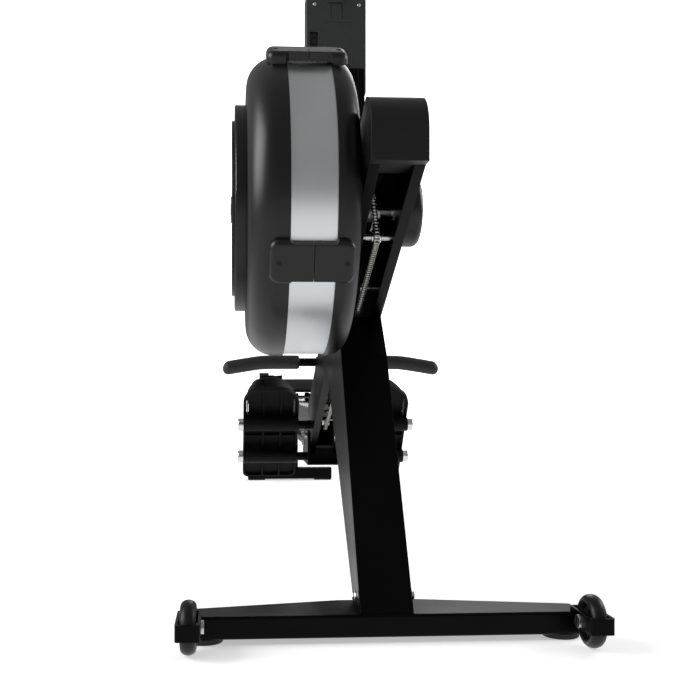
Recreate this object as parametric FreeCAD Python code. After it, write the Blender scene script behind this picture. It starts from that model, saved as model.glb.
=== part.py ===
"""Air-resistance rowing machine: frame, fan drum, chain drive, rail, seat, footrests and monitor.

Every sub-part is modelled on the machine's drawing: X to the machine's left-right, Y along the
rail from the front foot's face, Z up from the floor, in millimetres. When a sub-part is saved it
is moved so that the origin is the bottom centre of the whole machine.
"""
import FreeCAD, Part
import math
import os

V = FreeCAD.Vector

# ---- whole machine ---------------------------------------------------------------------------
ORIGIN_Y = 1079.0            # the drawing's Y of the machine's middle
X_AXIS, Y_AXIS, Z_AXIS = V(1, 0, 0), V(0, 1, 0), V(0, 0, 1)
RUN = 0.3                    # clearance between parts that move past each other
BORE_GAP = 0.05              # radial clearance of a shaft in its bore

# ---- main beam, leg and front foot -----------------------------------------------------------
FRAME_HALF = 37.5            # half width of beam, leg, nose and rail
FRAME_WALL = 3.0
BEAM_SLOPE = 0.46            # fall per unit of Y
BEAM_TOP_0 = 721.0           # height of the beam's top line at Y = 0
BEAM_DEPTH_Z = 112.0         # depth of the beam measured vertically
BEAM_LIP = 12.0              # inward lips beside the open underside
BEAM_FRONT_Y = -26.0
BEAM_REAR_Y = 900.0
NOSE_FRONT_Y = -101.0
NOSE_BOTTOM_Z = 645.0
NOSE_TOP_Z = 740.0
NOSE_RADIUS = 55.0
FOOT_Z0, FOOT_Z1 = 8.0, 40.0
FOOT_HALF = 274.0
FOOT_DEPTH_MID, FOOT_DEPTH_END, FOOT_DEEP_HALF = 92.0, 50.0, 60.0
PAD_X, PAD_RADIUS = 253.0, 26.0
LEG_BASE_FRONT_Y, LEG_BASE_REAR_Y = 4.0, 80.5
LEG_KNEE = (236.0, 406.0)
LEG_TOP_FRONT_Y, LEG_TOP_REAR_Y = 298.0, 472.0
CHAIN_SLOT_HALF, CHAIN_SLOT_Y0, CHAIN_SLOT_Y1 = 11.0, 104.0, 218.0
GUARD_Y0, GUARD_CREST_Y0, GUARD_CREST_Y1, GUARD_Y1 = 96.0, 110.0, 196.0, 236.0
GUARD_CREST_Z, GUARD_REAR_RISE, GUARD_HALF, GUARD_WALL = 672.0, 24.0, 17.0, 2.5
LEG_BOLTS, LEG_BOLT_RADIUS = ((57.0, 54.0), (30.0, 60.0)), 6.0
RAIL_BOLTS, RAIL_BOLT_RADIUS = ((884.0, 238.0), (975.0, 238.0), (975.0, 216.0)), 6.5
BOLT_HEAD_T = 5.0
FAR = 1500.0                 # reach of cutting bodies, past every part of the machine

# ---- transport wheels ------------------------------------------------------------------------
WHEEL_X, WHEEL_Y, WHEEL_Z = 272.5, -42.0, 37.5
WHEEL_RADIUS, WHEEL_WIDTH, WHEEL_AXLE_RADIUS = 36.0, 22.0, 5.0
FORK_X0, FORK_X1 = 256.0, 289.0
FORK_FRONT_Y, FORK_REAR_Y = -83.0, 0.0
FORK_Z0, FORK_Z1 = 28.0, 50.0
FORK_WALL = 4.0

# ---- fan drum --------------------------------------------------------------------------------
AXLE_Y, AXLE_Z = 160.0, 626.0
AXLE_RADIUS = 7.5
BEARING_RADIUS, BEARING_WIDTH = 16.0, 9.0
BAND_X0, BAND_X1 = -140.0, -72.5
BAND_RADIUS, BAND_WALL = 221.0, 1.5
SHELL_RADIUS = 223.7
SHELL_WALL = 2.6
LEFT_FACE_X, LEFT_LIP_X, LEFT_SHOULDER = -194.0, -137.5, 44.0
RIGHT_FACE_X, RIGHT_LIP_X, RIGHT_SHOULDER = -40.0, -75.0, 32.0
SEAM_X = -106.25
BRIDGE_ANGLES = (27.0, 117.0, 243.0, 333.0)
BRIDGE_LENGTH = 62.0
BRIDGE_CORNER, BRIDGE_CROWN, BRIDGE_WAIST = 14.0, 9.0, 5.0
SEAM_GAP = 0.8               # joint line between the two halves' lugs
BRIDGE_R0, BRIDGE_R1 = 226.0, 238.0
BRIDGE_X0, BRIDGE_X1 = -166.0, -51.0
INTAKE_RADIUS, INTAKE_X = 155.0, -211.0
DIAL_RADIUS, DIAL_X0, DIAL_X1 = 132.0, -215.3, -211.3
DIAL_BORE = 20.3
VENT_COUNT, VENT_R0, VENT_R1, VENT_HALF_ANGLE = 12, 58.0, 118.0, 8.0
CAP_RADIUS, CAP_X1 = 54.0, 73.0
AXLE_X0, AXLE_X1 = -192.0, 58.0
BEARING_X = (-190.5, -41.5, 32.5)
FAN_RADIUS, FAN_DISC_X0, FAN_DISC_X1 = 204.0, -110.0, -106.0
BLADE_R0, BLADE_R1, BLADE_X0, BLADE_T = 120.0, 200.0, -160.0, 3.0
FAN_HUB_RADIUS = 30.0
FLYWHEEL_R0, FLYWHEEL_R1, FLYWHEEL_X0, FLYWHEEL_X1 = 150.0, 190.0, -106.0, -92.0

# ---- chain drive -----------------------------------------------------------------------------
CHAIN_PITCH = 6.35
SPROCKET_TEETH = 28
SPROCKET_PITCH_R = CHAIN_PITCH / 2 / math.sin(math.pi / SPROCKET_TEETH)
CHAIN_HEIGHT, CHAIN_HALF_WIDTH = 5.6, 4.2
IDLER_Y, IDLER_Z, IDLER_RADIUS = 108.0, 578.0, 8.0
REAR_PULLEY_Y, REAR_PULLEY_Z, REAR_PULLEY_RADIUS = 880.0, 275.0, 18.5
FRONT_PULLEY_Y, FRONT_PULLEY_Z, FRONT_PULLEY_RADIUS = 330.0, 524.0, 16.0
PULLEY_HALF_WIDTH = 8.3
PIN_RADIUS = 4.0
CHAIN_GAP = 0.4              # between a roller and the chain's inner edge
CORD_RADIUS = 4.0
SWIVEL_LENGTH = 28.0
SWIVEL_Y = 610.0
CORD_ANCHOR = (800.0, 318.0)

# ---- handle and its cradle -------------------------------------------------------------------
HANDLE_Y, HANDLE_Z = 749.0, 404.0
HANDLE_HALF, HANDLE_BEND_X, HANDLE_DROOP_DEG = 234.0, 150.0, 9.5
BAR_RADIUS, GRIP_RADIUS, GRIP_START_X = 9.0, 15.0, 69.0
YOKE_FRONT_Y = 716.0
CRADLE_X0, CRADLE_X1, CRADLE_Y0, CRADLE_Y1 = 28.0, 34.0, 706.0, 775.0

# ---- rail ------------------------------------------------------------------------------------
RAIL_Z0, RAIL_Z1 = 208.0, 300.0
RAIL_Y0, RAIL_Y1 = 901.0, 2251.0
RAIL_FLANGE, RAIL_WEB_HALF = 14.0, 24.0
SADDLE_WALL = 4.5
TRACK_T = 1.5
REAR_POST_Y0, REAR_POST_Y1 = 2196.0, 2240.0
REAR_FOOT_HALF, REAR_FOOT_Z0, REAR_FOOT_Z1 = 153.5, 4.3, 45.0
REAR_BAR_Y0, REAR_BAR_Y1 = 2192.0, 2246.0
REAR_PAD_Y0, REAR_PAD_Y1 = 2199.0, 2239.0
TRACK_HALF, TRACK_Y0, TRACK_Y1 = 32.0, 962.0, 2226.0
STOP_HALF, STOP_DEPTH, STOP_HEIGHT = 22.0, 18.0, 22.0
STOP_FRONT_Y, STOP_REAR_Y = 1004.0, 2196.0
SADDLE_Y0, SADDLE_Y1, SADDLE_Z0, SADDLE_Z1 = 858.0, 1004.0, 172.0, 250.0
SADDLE_FLOOR = 4.0

# ---- footrests -------------------------------------------------------------------------------
TOE_Y, TOE_Z = 827.0, 343.0
HEEL_Y, HEEL_Z = 986.0, 134.0
PLATE_X0, PLATE_X1, PLATE_T = 62.0, 188.0, 12.0
ROD_RADIUS, SLEEVE_RADIUS = 10.0, 15.5
ROD_PLACES = ((870.0, 264.0), (930.0, 187.0))
ROD_CAP_RADIUS, ROD_CAP_T = 14.0, 12.0
STRAP_U, STRAP_WIDTH, STRAP_T, STRAP_RISE = 52.0, 38.0, 2.4, 92.0
HEEL_CUP_U0, HEEL_CUP_U1, HEEL_CUP_HALF, HEEL_CUP_RISE = 128.0, 232.0, 52.0, 48.0

# ---- seat ------------------------------------------------------------------------------------
SEAT_Y = 1615.0
SEAT_HALF, SEAT_DEPTH, SEAT_Z0, SEAT_Z1 = 152.0, 236.0, 336.0, 371.0
ROLLER_RADIUS, ROLLER_SPACING, ROLLER_X0, ROLLER_X1 = 13.0, 150.0, 15.0, 29.0
CARRIAGE_HALF_LENGTH, CARRIAGE_TOP_Z0, CARRIAGE_TOP_Z1 = 96.0, 330.0, 334.0
CHEEK_X0, CHEEK_X1, CHEEK_Z0 = 40.5, 43.5, 270.0

# ---- monitor ---------------------------------------------------------------------------------
MONITOR_HALF, MONITOR_Z0, MONITOR_Z1 = 62.5, 948.0, 1166.0
MONITOR_BACK_Y, MONITOR_SPLIT_Y, MONITOR_FACE_Y = 652.0, 676.0, 690.0
ARM_X0, ARM_X1 = 41.0, 53.0
ARM_PIVOT_Y, ARM_PIVOT_Z = 560.0, 432.0
TILT_Y, TILT_Z = 640.0, 985.0
BUTTON_X = (-24.0, 24.0)
BUTTON_Z, BUTTON_RADIUS = 972.0, 7.5


def beam_top(y):
    """Height of the beam's top line at Y."""
    return BEAM_TOP_0 - BEAM_SLOPE * y


def beam_bottom(y):
    """Height of the beam's open underside at Y."""
    return beam_top(y) - BEAM_DEPTH_Z


# ---- plain shapes ----------------------------------------------------------------------------
def box(x0, x1, y0, y1, z0, z1):
    return Part.makeBox(x1 - x0, y1 - y0, z1 - z0, V(x0, y0, z0))


def rounded_box(x0, x1, y0, y1, z0, z1, radius, along):
    """A box with the four edges along one axis rounded."""
    shape = box(x0, x1, y0, y1, z0, z1)
    return round_edges(shape, radius, along)


def round_edges(shape, radius, along):
    """Rounds the straight edges of a shape that run along one axis."""
    edges = [e for e in shape.Edges if e.Curve.TypeId == "Part::GeomLine"
             and abs(abs(e.tangentAt(e.FirstParameter).dot(along)) - 1) < 1e-6]
    return shape.makeFillet(radius, edges)


def prism(points, thickness_vector):
    """A polygon, given as vectors, pushed along a vector."""
    wire = Part.makePolygon(list(points) + [points[0]])
    return Part.Face(wire).extrude(thickness_vector)


def prism_x(points, x0, x1):
    """A polygon of (y, z) points between two X planes."""
    return prism([V(x0, y, z) for y, z in points], V(x1 - x0, 0, 0))


def prism_y(points, y0, y1):
    """A polygon of (x, z) points between two Y planes."""
    return prism([V(x, y0, z) for x, z in points], V(0, y1 - y0, 0))


def prism_z(points, z0, z1):
    """A polygon of (x, y) points between two Z planes."""
    return prism([V(x, y, z0) for x, y in points], V(0, 0, z1 - z0))


def rod_x(y, z, radius, x0, x1):
    return Part.makeCylinder(radius, x1 - x0, V(x0, y, z), X_AXIS)


def ring_x(y, z, outer, inner, x0, x1):
    return rod_x(y, z, outer, x0, x1).cut(rod_x(y, z, inner, x0 - 1, x1 + 1))


def revolve_x(profile, y, z):
    """A closed outline of edges in the plane Y = y, given above the axis, turned round X."""
    face = Part.Face(Part.Wire(profile))
    return face.revolve(V(0, y, z), X_AXIS, 360)


def outline(points):
    """Straight edges through (x, radius) points about the axle, closed."""
    corners = [V(x, AXLE_Y, AXLE_Z + r) for x, r in points]
    corners.append(corners[0])
    return [Part.LineSegment(a, b).toShape() for a, b in zip(corners, corners[1:])]


def both_sides(shape):
    """A shape and its mirror image across the machine's middle plane."""
    return Part.makeCompound([shape, shape.mirror(V(0, 0, 0), X_AXIS)])


def mirrored(shape):
    return shape.mirror(V(0, 0, 0), X_AXIS)


def group(shapes):
    return Part.makeCompound(list(shapes))


def save(name, shape):
    """Moves a sub-part from the drawing's zero to the machine's origin and writes it."""
    placed = shape.copy()
    placed.translate(V(0, -ORIGIN_Y, 0))
    placed.exportStep(f"parts/{name}.step")


# ---- front foot, leg, beam -------------------------------------------------------------------
def front_foot():
    """Tapered hollow cross bar, straight in front and deeper in the middle."""
    def plan(end, inset):
        return [(-end, inset), (end, inset), (end, FOOT_DEPTH_END - inset),
                (FOOT_DEEP_HALF, FOOT_DEPTH_MID - inset), (-FOOT_DEEP_HALF, FOOT_DEPTH_MID - inset),
                (-end, FOOT_DEPTH_END - inset)]
    outer = prism_z(plan(FOOT_HALF, 0), FOOT_Z0, FOOT_Z1)
    inner = prism_z(plan(FOOT_HALF + 1, FRAME_WALL), FOOT_Z0 + FRAME_WALL, FOOT_Z1 - FRAME_WALL)
    front = [e for e in outer.Edges if abs(e.CenterOfMass.y) < 0.01 and e.Length > FOOT_HALF]
    return outer.makeFillet(4.0, front).cut(inner)


def main_leg():
    """Wedge-shaped box leg, narrow on the foot and wide under the beam."""
    def side(inset):
        front_y = LEG_BASE_FRONT_Y + inset * 1.2
        rear_y = LEG_BASE_REAR_Y - inset * 1.5
        knee_y, knee_z = LEG_KNEE[0] + inset, LEG_KNEE[1] - inset * 0.4
        front_top, rear_top = LEG_TOP_FRONT_Y + inset, LEG_TOP_REAR_Y - inset
        return [(front_y, FOOT_Z1), (rear_y, FOOT_Z1), (rear_top, beam_bottom(rear_top)),
                (front_top, beam_bottom(front_top)), (knee_y, knee_z)]
    outer = prism_x(side(0), -FRAME_HALF, FRAME_HALF)
    inner_half = FRAME_HALF - FRAME_WALL
    inner = prism_x(side(FRAME_WALL), -inner_half, inner_half)
    return outer.cut(inner)


def main_beam():
    """Sloping channel, open underneath between two lips, with the drive inside."""
    low_front_y = (BEAM_TOP_0 - BEAM_DEPTH_Z - NOSE_BOTTOM_Z) / BEAM_SLOPE
    side = [(low_front_y, NOSE_BOTTOM_Z), (BEAM_FRONT_Y, NOSE_BOTTOM_Z),
            (BEAM_FRONT_Y, beam_top(BEAM_FRONT_Y)), (BEAM_REAR_Y, beam_top(BEAM_REAR_Y)),
            (BEAM_REAR_Y, beam_bottom(BEAM_REAR_Y))]
    shape = prism_x(side, -FRAME_HALF, FRAME_HALF)
    half = FRAME_HALF - FRAME_WALL
    wall_z = FRAME_WALL * math.hypot(1.0, BEAM_SLOPE)

    def slanted(x_half, z_low, z_high):
        return prism_x([(-FAR, beam_bottom(-FAR) + z_low), (-FAR, beam_top(-FAR) - z_high),
                        (FAR, beam_top(FAR) - z_high), (FAR, beam_bottom(FAR) + z_low)],
                       -x_half, x_half)
    shape = shape.cut(slanted(half, wall_z, wall_z))
    shape = shape.cut(slanted(half - BEAM_LIP, -5.0, wall_z))
    shape = shape.cut(box(-CHAIN_SLOT_HALF, CHAIN_SLOT_HALF, CHAIN_SLOT_Y0, CHAIN_SLOT_Y1,
                          beam_top(CHAIN_SLOT_Y1) - 12, beam_top(CHAIN_SLOT_Y0) + 27))
    shape = shape.cut(rod_x(AXLE_Y, AXLE_Z, BEARING_RADIUS, -FRAME_HALF - 1, FRAME_HALF + 1))
    for y, z in ((IDLER_Y, IDLER_Z), (REAR_PULLEY_Y, REAR_PULLEY_Z),
                 (FRONT_PULLEY_Y, FRONT_PULLEY_Z)):
        shape = shape.cut(rod_x(y, z, PIN_RADIUS, -FRAME_HALF - 1, FRAME_HALF + 1))
    anchor_y, anchor_z = CORD_ANCHOR[0] + 2.0, CORD_ANCHOR[1]
    cord_anchor = box(-half - 1, half + 1, anchor_y, anchor_y + 4, anchor_z - 7, anchor_z + 6)
    return shape.fuse(cord_anchor).removeSplitter()


def nose_cover():
    """Rounded cap over the beam's front end."""
    def side(inset):
        radius = NOSE_RADIUS - inset
        front, low, top = NOSE_FRONT_Y + inset, NOSE_BOTTOM_Z + inset, NOSE_TOP_Z - inset
        rear = BEAM_FRONT_Y if inset == 0 else BEAM_FRONT_Y + 1
        centre_y, centre_z = NOSE_FRONT_Y + NOSE_RADIUS, NOSE_TOP_Z - NOSE_RADIUS
        middle = V(0, centre_y - radius * math.sqrt(0.5), centre_z + radius * math.sqrt(0.5))
        arc = Part.Arc(V(0, front, centre_z), middle, V(0, centre_y, top)).toShape()
        corners = [V(0, centre_y, top), V(0, rear, beam_top(BEAM_FRONT_Y) - inset),
                   V(0, rear, low), V(0, front, low), V(0, front, centre_z)]
        lines = [Part.LineSegment(a, b).toShape() for a, b in zip(corners, corners[1:])]
        return Part.Face(Part.Wire([arc] + lines))
    outer = side(0).extrude(V(2 * FRAME_HALF, 0, 0))
    outer.translate(V(-FRAME_HALF, 0, 0))
    wall = 2.5
    inner = side(wall).extrude(V(2 * (FRAME_HALF - wall), 0, 0))
    inner.translate(V(-FRAME_HALF + wall, 0, 0))
    return outer.cut(inner)


def chain_guard():
    """Hood over the slot in the beam's top where the chain leaves the sprocket."""
    crest = GUARD_CREST_Z
    outer = prism_x([(GUARD_Y0, beam_top(GUARD_Y0)), (GUARD_CREST_Y0, crest),
                     (GUARD_CREST_Y1, crest), (GUARD_Y1, beam_top(GUARD_Y1) + GUARD_REAR_RISE),
                     (GUARD_Y1, beam_top(GUARD_Y1))], -GUARD_HALF, GUARD_HALF)
    wall, low = GUARD_WALL, -6.0
    inner = prism_x([(GUARD_Y0 + wall, beam_top(GUARD_Y0) + low),
                     (GUARD_CREST_Y0 + wall, crest - wall), (GUARD_CREST_Y1, crest - wall),
                     (GUARD_Y1 + 1, beam_top(GUARD_Y1) + GUARD_REAR_RISE - wall),
                     (GUARD_Y1 + 1, beam_top(GUARD_Y1) + low)],
                    -GUARD_HALF + wall, GUARD_HALF - wall)
    below = prism_x([(0, beam_top(0)), (0, 400), (400, 400), (400, beam_top(400))], -40, 40)
    return outer.cut(inner).cut(below)


def floor_pads():
    """Two round pads under the front foot and two long ones under the rear foot."""
    front = Part.makeCylinder(PAD_RADIUS, FOOT_Z0, V(0, 0, 0), Z_AXIS)
    front = front.makeFillet(2.0, [e for e in front.Edges if e.CenterOfMass.z < 0.01])
    front.translate(V(PAD_X, PAD_RADIUS + 1, 0))
    rear = rounded_box(REAR_FOOT_HALF - 63, REAR_FOOT_HALF - 1, REAR_PAD_Y0, REAR_PAD_Y1, 0,
                       REAR_FOOT_Z0, 6.0, Z_AXIS)
    return both_sides(group([front, rear]))


def wheel_fork():
    """Strap ring of flat steel round the right wheel."""
    outer = box(FORK_X0, FORK_X1, FORK_FRONT_Y, FORK_REAR_Y, FORK_Z0, FORK_Z1)
    outer = round_edges(outer, 5.0, Z_AXIS)
    hollow = box(FORK_X0 + FORK_WALL, FORK_X1 - FORK_WALL, FORK_FRONT_Y + FORK_WALL,
                 FORK_REAR_Y - FORK_WALL, 0, 100)
    ring = outer.cut(hollow)
    return ring.cut(rod_x(WHEEL_Y, WHEEL_Z, WHEEL_AXLE_RADIUS, FORK_X0 - 5, FORK_X1 + 5))


def wheel():
    """Rounded tyre and hub of the right wheel."""
    x0, x1 = WHEEL_X - WHEEL_WIDTH / 2, WHEEL_X + WHEEL_WIDTH / 2
    disc = rod_x(WHEEL_Y, WHEEL_Z, WHEEL_RADIUS, x0, x1)
    rims = [e for e in disc.Edges if e.Curve.TypeId == "Part::GeomCircle"]
    disc = disc.makeFillet(8.0, rims)
    return disc.cut(rod_x(WHEEL_Y, WHEEL_Z, WHEEL_AXLE_RADIUS + BORE_GAP, x0 - 1, x1 + 1))


def wheel_axle():
    """Axle bolt through the right fork."""
    shaft = rod_x(WHEEL_Y, WHEEL_Z, WHEEL_AXLE_RADIUS, FORK_X0 - 4, FORK_X1)
    nut = rod_x(WHEEL_Y, WHEEL_Z, 9.0, FORK_X0 - 4, FORK_X0)
    return shaft.fuse(nut)


def frame_bolts():
    """Bolt heads on both faces of the leg above the foot and of the rail saddle."""
    leg = [rod_x(y, z, LEG_BOLT_RADIUS, FRAME_HALF, FRAME_HALF + BOLT_HEAD_T)
           for y, z in LEG_BOLTS]
    outside = FRAME_HALF + SADDLE_WALL
    rail = [rod_x(y, z, RAIL_BOLT_RADIUS, outside, outside + BOLT_HEAD_T) for y, z in RAIL_BOLTS]
    return both_sides(group(leg + rail))


# ---- fan drum --------------------------------------------------------------------------------
def rim_band():
    return ring_x(AXLE_Y, AXLE_Z, BAND_RADIUS, BAND_RADIUS - BAND_WALL, BAND_X0, BAND_X1)


def shell_wall(lip_x, face_x, shoulder, hub_radius):
    """Dished wall: lip over the band, rounded shoulder, flat face down to the hub hole."""
    side = 1 if face_x > lip_x else -1
    lip_inner = BAND_RADIUS + 0.3
    r_out = SHELL_RADIUS
    bend_x = face_x - side * shoulder
    half = math.sqrt(0.5)
    r_mid = r_out - shoulder

    def at(x, r):
        return V(x, AXLE_Y, AXLE_Z + r)
    inner_x = face_x - side * SHELL_WALL
    inner_shoulder = shoulder - SHELL_WALL
    outer_arc = Part.Arc(at(bend_x, r_out),
                         at(bend_x + side * shoulder * half, r_mid + shoulder * half),
                         at(face_x, r_mid)).toShape()
    inner_arc = Part.Arc(at(inner_x, r_mid),
                         at(bend_x + side * inner_shoulder * half, r_mid + inner_shoulder * half),
                         at(bend_x, r_mid + inner_shoulder)).toShape()
    edges = [Part.LineSegment(at(lip_x, r_out), at(bend_x, r_out)).toShape(), outer_arc,
             Part.LineSegment(at(face_x, r_mid), at(face_x, hub_radius)).toShape(),
             Part.LineSegment(at(face_x, hub_radius), at(inner_x, hub_radius)).toShape(),
             Part.LineSegment(at(inner_x, hub_radius), at(inner_x, r_mid)).toShape(), inner_arc,
             Part.LineSegment(at(bend_x, r_mid + inner_shoulder), at(lip_x, lip_inner)).toShape(),
             Part.LineSegment(at(lip_x, lip_inner), at(lip_x, r_out)).toShape()]
    return revolve_x(edges, AXLE_Y, AXLE_Z)


def bridge_lug(outer_x, angle):
    """Rounded lug, waisted over the band, that reaches from a shell's rim to the seam."""
    side = -1 if outer_x < SEAM_X else 1
    seam_x = SEAM_X + side * SEAM_GAP / 2
    x0, x1 = min(outer_x, seam_x), max(outer_x, seam_x)
    shell_x0, shell_x1 = (x0, BAND_X0 - 0.5) if side < 0 else (BAND_X1 + 0.5, x1)
    half = BRIDGE_LENGTH / 2
    block = box(x0, x1, AXLE_Y - half, AXLE_Y + half, AXLE_Z + 200, AXLE_Z + BRIDGE_R1)
    corners = [e for e in block.Edges if abs(e.CenterOfMass.x - outer_x) < 0.01
               and abs(e.tangentAt(e.FirstParameter).z) > 0.9]
    block = block.makeFillet(BRIDGE_CORNER, corners)
    crown = [e for e in block.Edges if abs(e.CenterOfMass.z - AXLE_Z - BRIDGE_R1) < 0.01
             and abs(e.CenterOfMass.x - seam_x) > 0.01]
    block = block.makeFillet(BRIDGE_CROWN, crown)
    for end in (-1, 1):
        edge_y, waist_y = AXLE_Y + end * (half + 1), AXLE_Y + end * (half - BRIDGE_WAIST)
        waist = [(BAND_X0, edge_y), (BAND_X0 + BRIDGE_WAIST, waist_y),
                 (BAND_X1 - BRIDGE_WAIST, waist_y), (BAND_X1, edge_y)]
        block = block.cut(prism_z(waist, AXLE_Z, AXLE_Z + BRIDGE_R1 + 1))
    under = rod_x(AXLE_Y, AXLE_Z, BRIDGE_R0, x0 - 1, x1 + 1)
    foot = rod_x(AXLE_Y, AXLE_Z, SHELL_RADIUS - 1.0, x0 - 1, x1 + 1)
    over = block.cut(under)
    root = block.common(box(shell_x0, shell_x1, -999, 999, -999, 9999)).cut(foot)
    lug = over.fuse(root).removeSplitter()
    lug.rotate(V(0, AXLE_Y, AXLE_Z), X_AXIS, angle)
    return lug


def fan_shell(lip_x, face_x, shoulder, hub_radius, lug_x):
    """One half of the drum with its lugs."""
    shell = shell_wall(lip_x, face_x, shoulder, hub_radius)
    lugs = [bridge_lug(lug_x, angle) for angle in BRIDGE_ANGLES]
    return shell.fuse(lugs).removeSplitter()


def vents(x0, x1):
    """Radial air slots, cut from the intake cover and from the dial."""
    shapes = []
    for i in range(VENT_COUNT):
        reach = VENT_R1 + 80
        wide = reach * math.tan(math.radians(VENT_HALF_ANGLE))
        wedge = prism_x([(AXLE_Y, AXLE_Z), (AXLE_Y - wide, AXLE_Z + reach),
                         (AXLE_Y + wide, AXLE_Z + reach)], x0, x1)
        slot = wedge.common(ring_x(AXLE_Y, AXLE_Z, VENT_R1, VENT_R0, x0, x1))
        slot.rotate(V(0, AXLE_Y, AXLE_Z), X_AXIS, 360.0 * i / VENT_COUNT)
        shapes.append(slot)
    return shapes


def intake_cover():
    """Round cover on the left shell with a ring of air slots and a hub for the dial."""
    skirt = ring_x(AXLE_Y, AXLE_Z, INTAKE_RADIUS, INTAKE_RADIUS - 3, INTAKE_X, LEFT_FACE_X)
    rim = [e for e in skirt.Edges if abs(e.CenterOfMass.x - INTAKE_X) < 0.01
           and e.Length > 2 * math.pi * (INTAKE_RADIUS - 1)]
    skirt = skirt.makeFillet(2.5, rim)
    face = rod_x(AXLE_Y, AXLE_Z, INTAKE_RADIUS - 2.9, INTAKE_X, INTAKE_X + 3)
    hub = rod_x(AXLE_Y, AXLE_Z, 20, DIAL_X0 - 1.2, INTAKE_X + 1)
    seat = ring_x(AXLE_Y, AXLE_Z, 24, BEARING_RADIUS, INTAKE_X + 1,
                  BEARING_X[0] + BEARING_WIDTH + 0.5)
    cover = skirt.fuse([face, hub, seat])
    return cover.cut(group(vents(INTAKE_X - 1, INTAKE_X + 5)))


def damper_dial():
    """Turning disc whose slots meet the intake cover's slots."""
    disc = ring_x(AXLE_Y, AXLE_Z, DIAL_RADIUS, DIAL_BORE, DIAL_X0, DIAL_X1)
    rim = [e for e in disc.Edges if abs(e.CenterOfMass.x - DIAL_X0) < 0.01
           and e.Length > math.pi * DIAL_RADIUS]
    disc = disc.makeFillet(1.5, rim)
    return disc.cut(group(vents(DIAL_X0 - 1, DIAL_X1 + 1)))


def fan_axle():
    """Axle with the collar and the flange that carry the fan and its ring."""
    shaft = rod_x(AXLE_Y, AXLE_Z, AXLE_RADIUS, AXLE_X0, AXLE_X1)
    flange = rod_x(AXLE_Y, AXLE_Z, FAN_HUB_RADIUS, FAN_DISC_X0 - 2, FAN_DISC_X1 + 6)
    collar = rod_x(AXLE_Y, AXLE_Z, AXLE_RADIUS * 2 - 1, FAN_DISC_X0 - 20, BAND_X1 + 2.5)
    return shaft.fuse(flange.fuse(collar))


def axle_bearings():
    """Three ball bearings: one in the intake cover and two in the beam's walls."""
    return group(ring_x(AXLE_Y, AXLE_Z, BEARING_RADIUS, AXLE_RADIUS + BORE_GAP, x,
                        x + BEARING_WIDTH) for x in BEARING_X)


def fan_wheel():
    """Moulded fan: back disc, hub ring and twelve radial blades."""
    disc = ring_x(AXLE_Y, AXLE_Z, FAN_RADIUS, FAN_HUB_RADIUS, FAN_DISC_X0, FAN_DISC_X1)
    blades = []
    for i in range(VENT_COUNT):
        blade = box(BLADE_X0, FAN_DISC_X0 + 1, AXLE_Y - BLADE_T / 2, AXLE_Y + BLADE_T / 2,
                    AXLE_Z + BLADE_R0, AXLE_Z + BLADE_R1)
        blade.rotate(V(0, AXLE_Y, AXLE_Z), X_AXIS, 360.0 * (i + 0.5) / VENT_COUNT)
        blades.append(blade)
    return disc.fuse(blades)


def flywheel_ring():
    """Heavy steel ring on the fan's right side."""
    return ring_x(AXLE_Y, AXLE_Z, FLYWHEEL_R1, FLYWHEEL_R0, FLYWHEEL_X0, FLYWHEEL_X1)


def bearing_cap():
    """Round cover on the right end of the axle."""
    cap = rod_x(AXLE_Y, AXLE_Z, CAP_RADIUS, FRAME_HALF, CAP_X1)
    cap = cap.makeFillet(11.0, [e for e in cap.Edges if abs(e.CenterOfMass.x - CAP_X1) < 0.01])
    hollow = rod_x(AXLE_Y, AXLE_Z, CAP_RADIUS - 3, FRAME_HALF - 1, CAP_X1 - 12)
    return cap.cut(hollow)


# ---- chain drive -----------------------------------------------------------------------------
def tangent_run(a, ra, b, rb):
    """Ends of the belt line from circle a to circle b, kept on the right of the way it goes.

    Both circles are turned anticlockwise in the (y, z) plane by a belt on that line.
    """
    dy, dz = b[0] - a[0], b[1] - a[1]
    length = math.hypot(dy, dz)
    along = math.atan2(dz, dy)
    normal = along - math.acos((ra - rb) / length)
    ny, nz = math.cos(normal), math.sin(normal)
    return (a[0] + ra * ny, a[1] + ra * nz), (b[0] + rb * ny, b[1] + rb * nz)


def strip_run(start, end):
    """Straight stretch of chain between two (y, z) points."""
    dy, dz = end[0] - start[0], end[1] - start[1]
    length = math.hypot(dy, dz)
    ny, nz = -dz / length * CHAIN_HEIGHT / 2, dy / length * CHAIN_HEIGHT / 2
    corners = [(start[0] + ny, start[1] + nz), (end[0] + ny, end[1] + nz),
               (end[0] - ny, end[1] - nz), (start[0] - ny, start[1] - nz)]
    return prism_x(corners, -CHAIN_HALF_WIDTH, CHAIN_HALF_WIDTH)


def arc_angles(centre, start, end):
    """Start angle and anticlockwise turn in degrees from one point to another on a circle."""
    a0 = math.degrees(math.atan2(start[1] - centre[1], start[0] - centre[0]))
    a1 = math.degrees(math.atan2(end[1] - centre[1], end[0] - centre[0]))
    return a0, (a1 - a0) % 360


def strip_arc(centre, radius, start, end):
    """Stretch of chain wrapped anticlockwise round a circle."""
    a0, sweep = arc_angles(centre, start, end)
    inner, outer = radius - CHAIN_HEIGHT / 2, radius + CHAIN_HEIGHT / 2
    width = 2 * CHAIN_HALF_WIDTH
    base = V(-CHAIN_HALF_WIDTH, centre[0], centre[1])
    full = Part.makeCylinder(outer, width, base, X_AXIS, sweep)
    hole = Part.makeCylinder(inner, width + 2, base - V(1, 0, 0), X_AXIS, 360)
    arc = full.cut(hole)
    zero = math.degrees(math.atan2(arc_start(full, centre)[1], arc_start(full, centre)[0]))
    arc.rotate(V(0, centre[0], centre[1]), X_AXIS, a0 - zero)
    return arc


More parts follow.
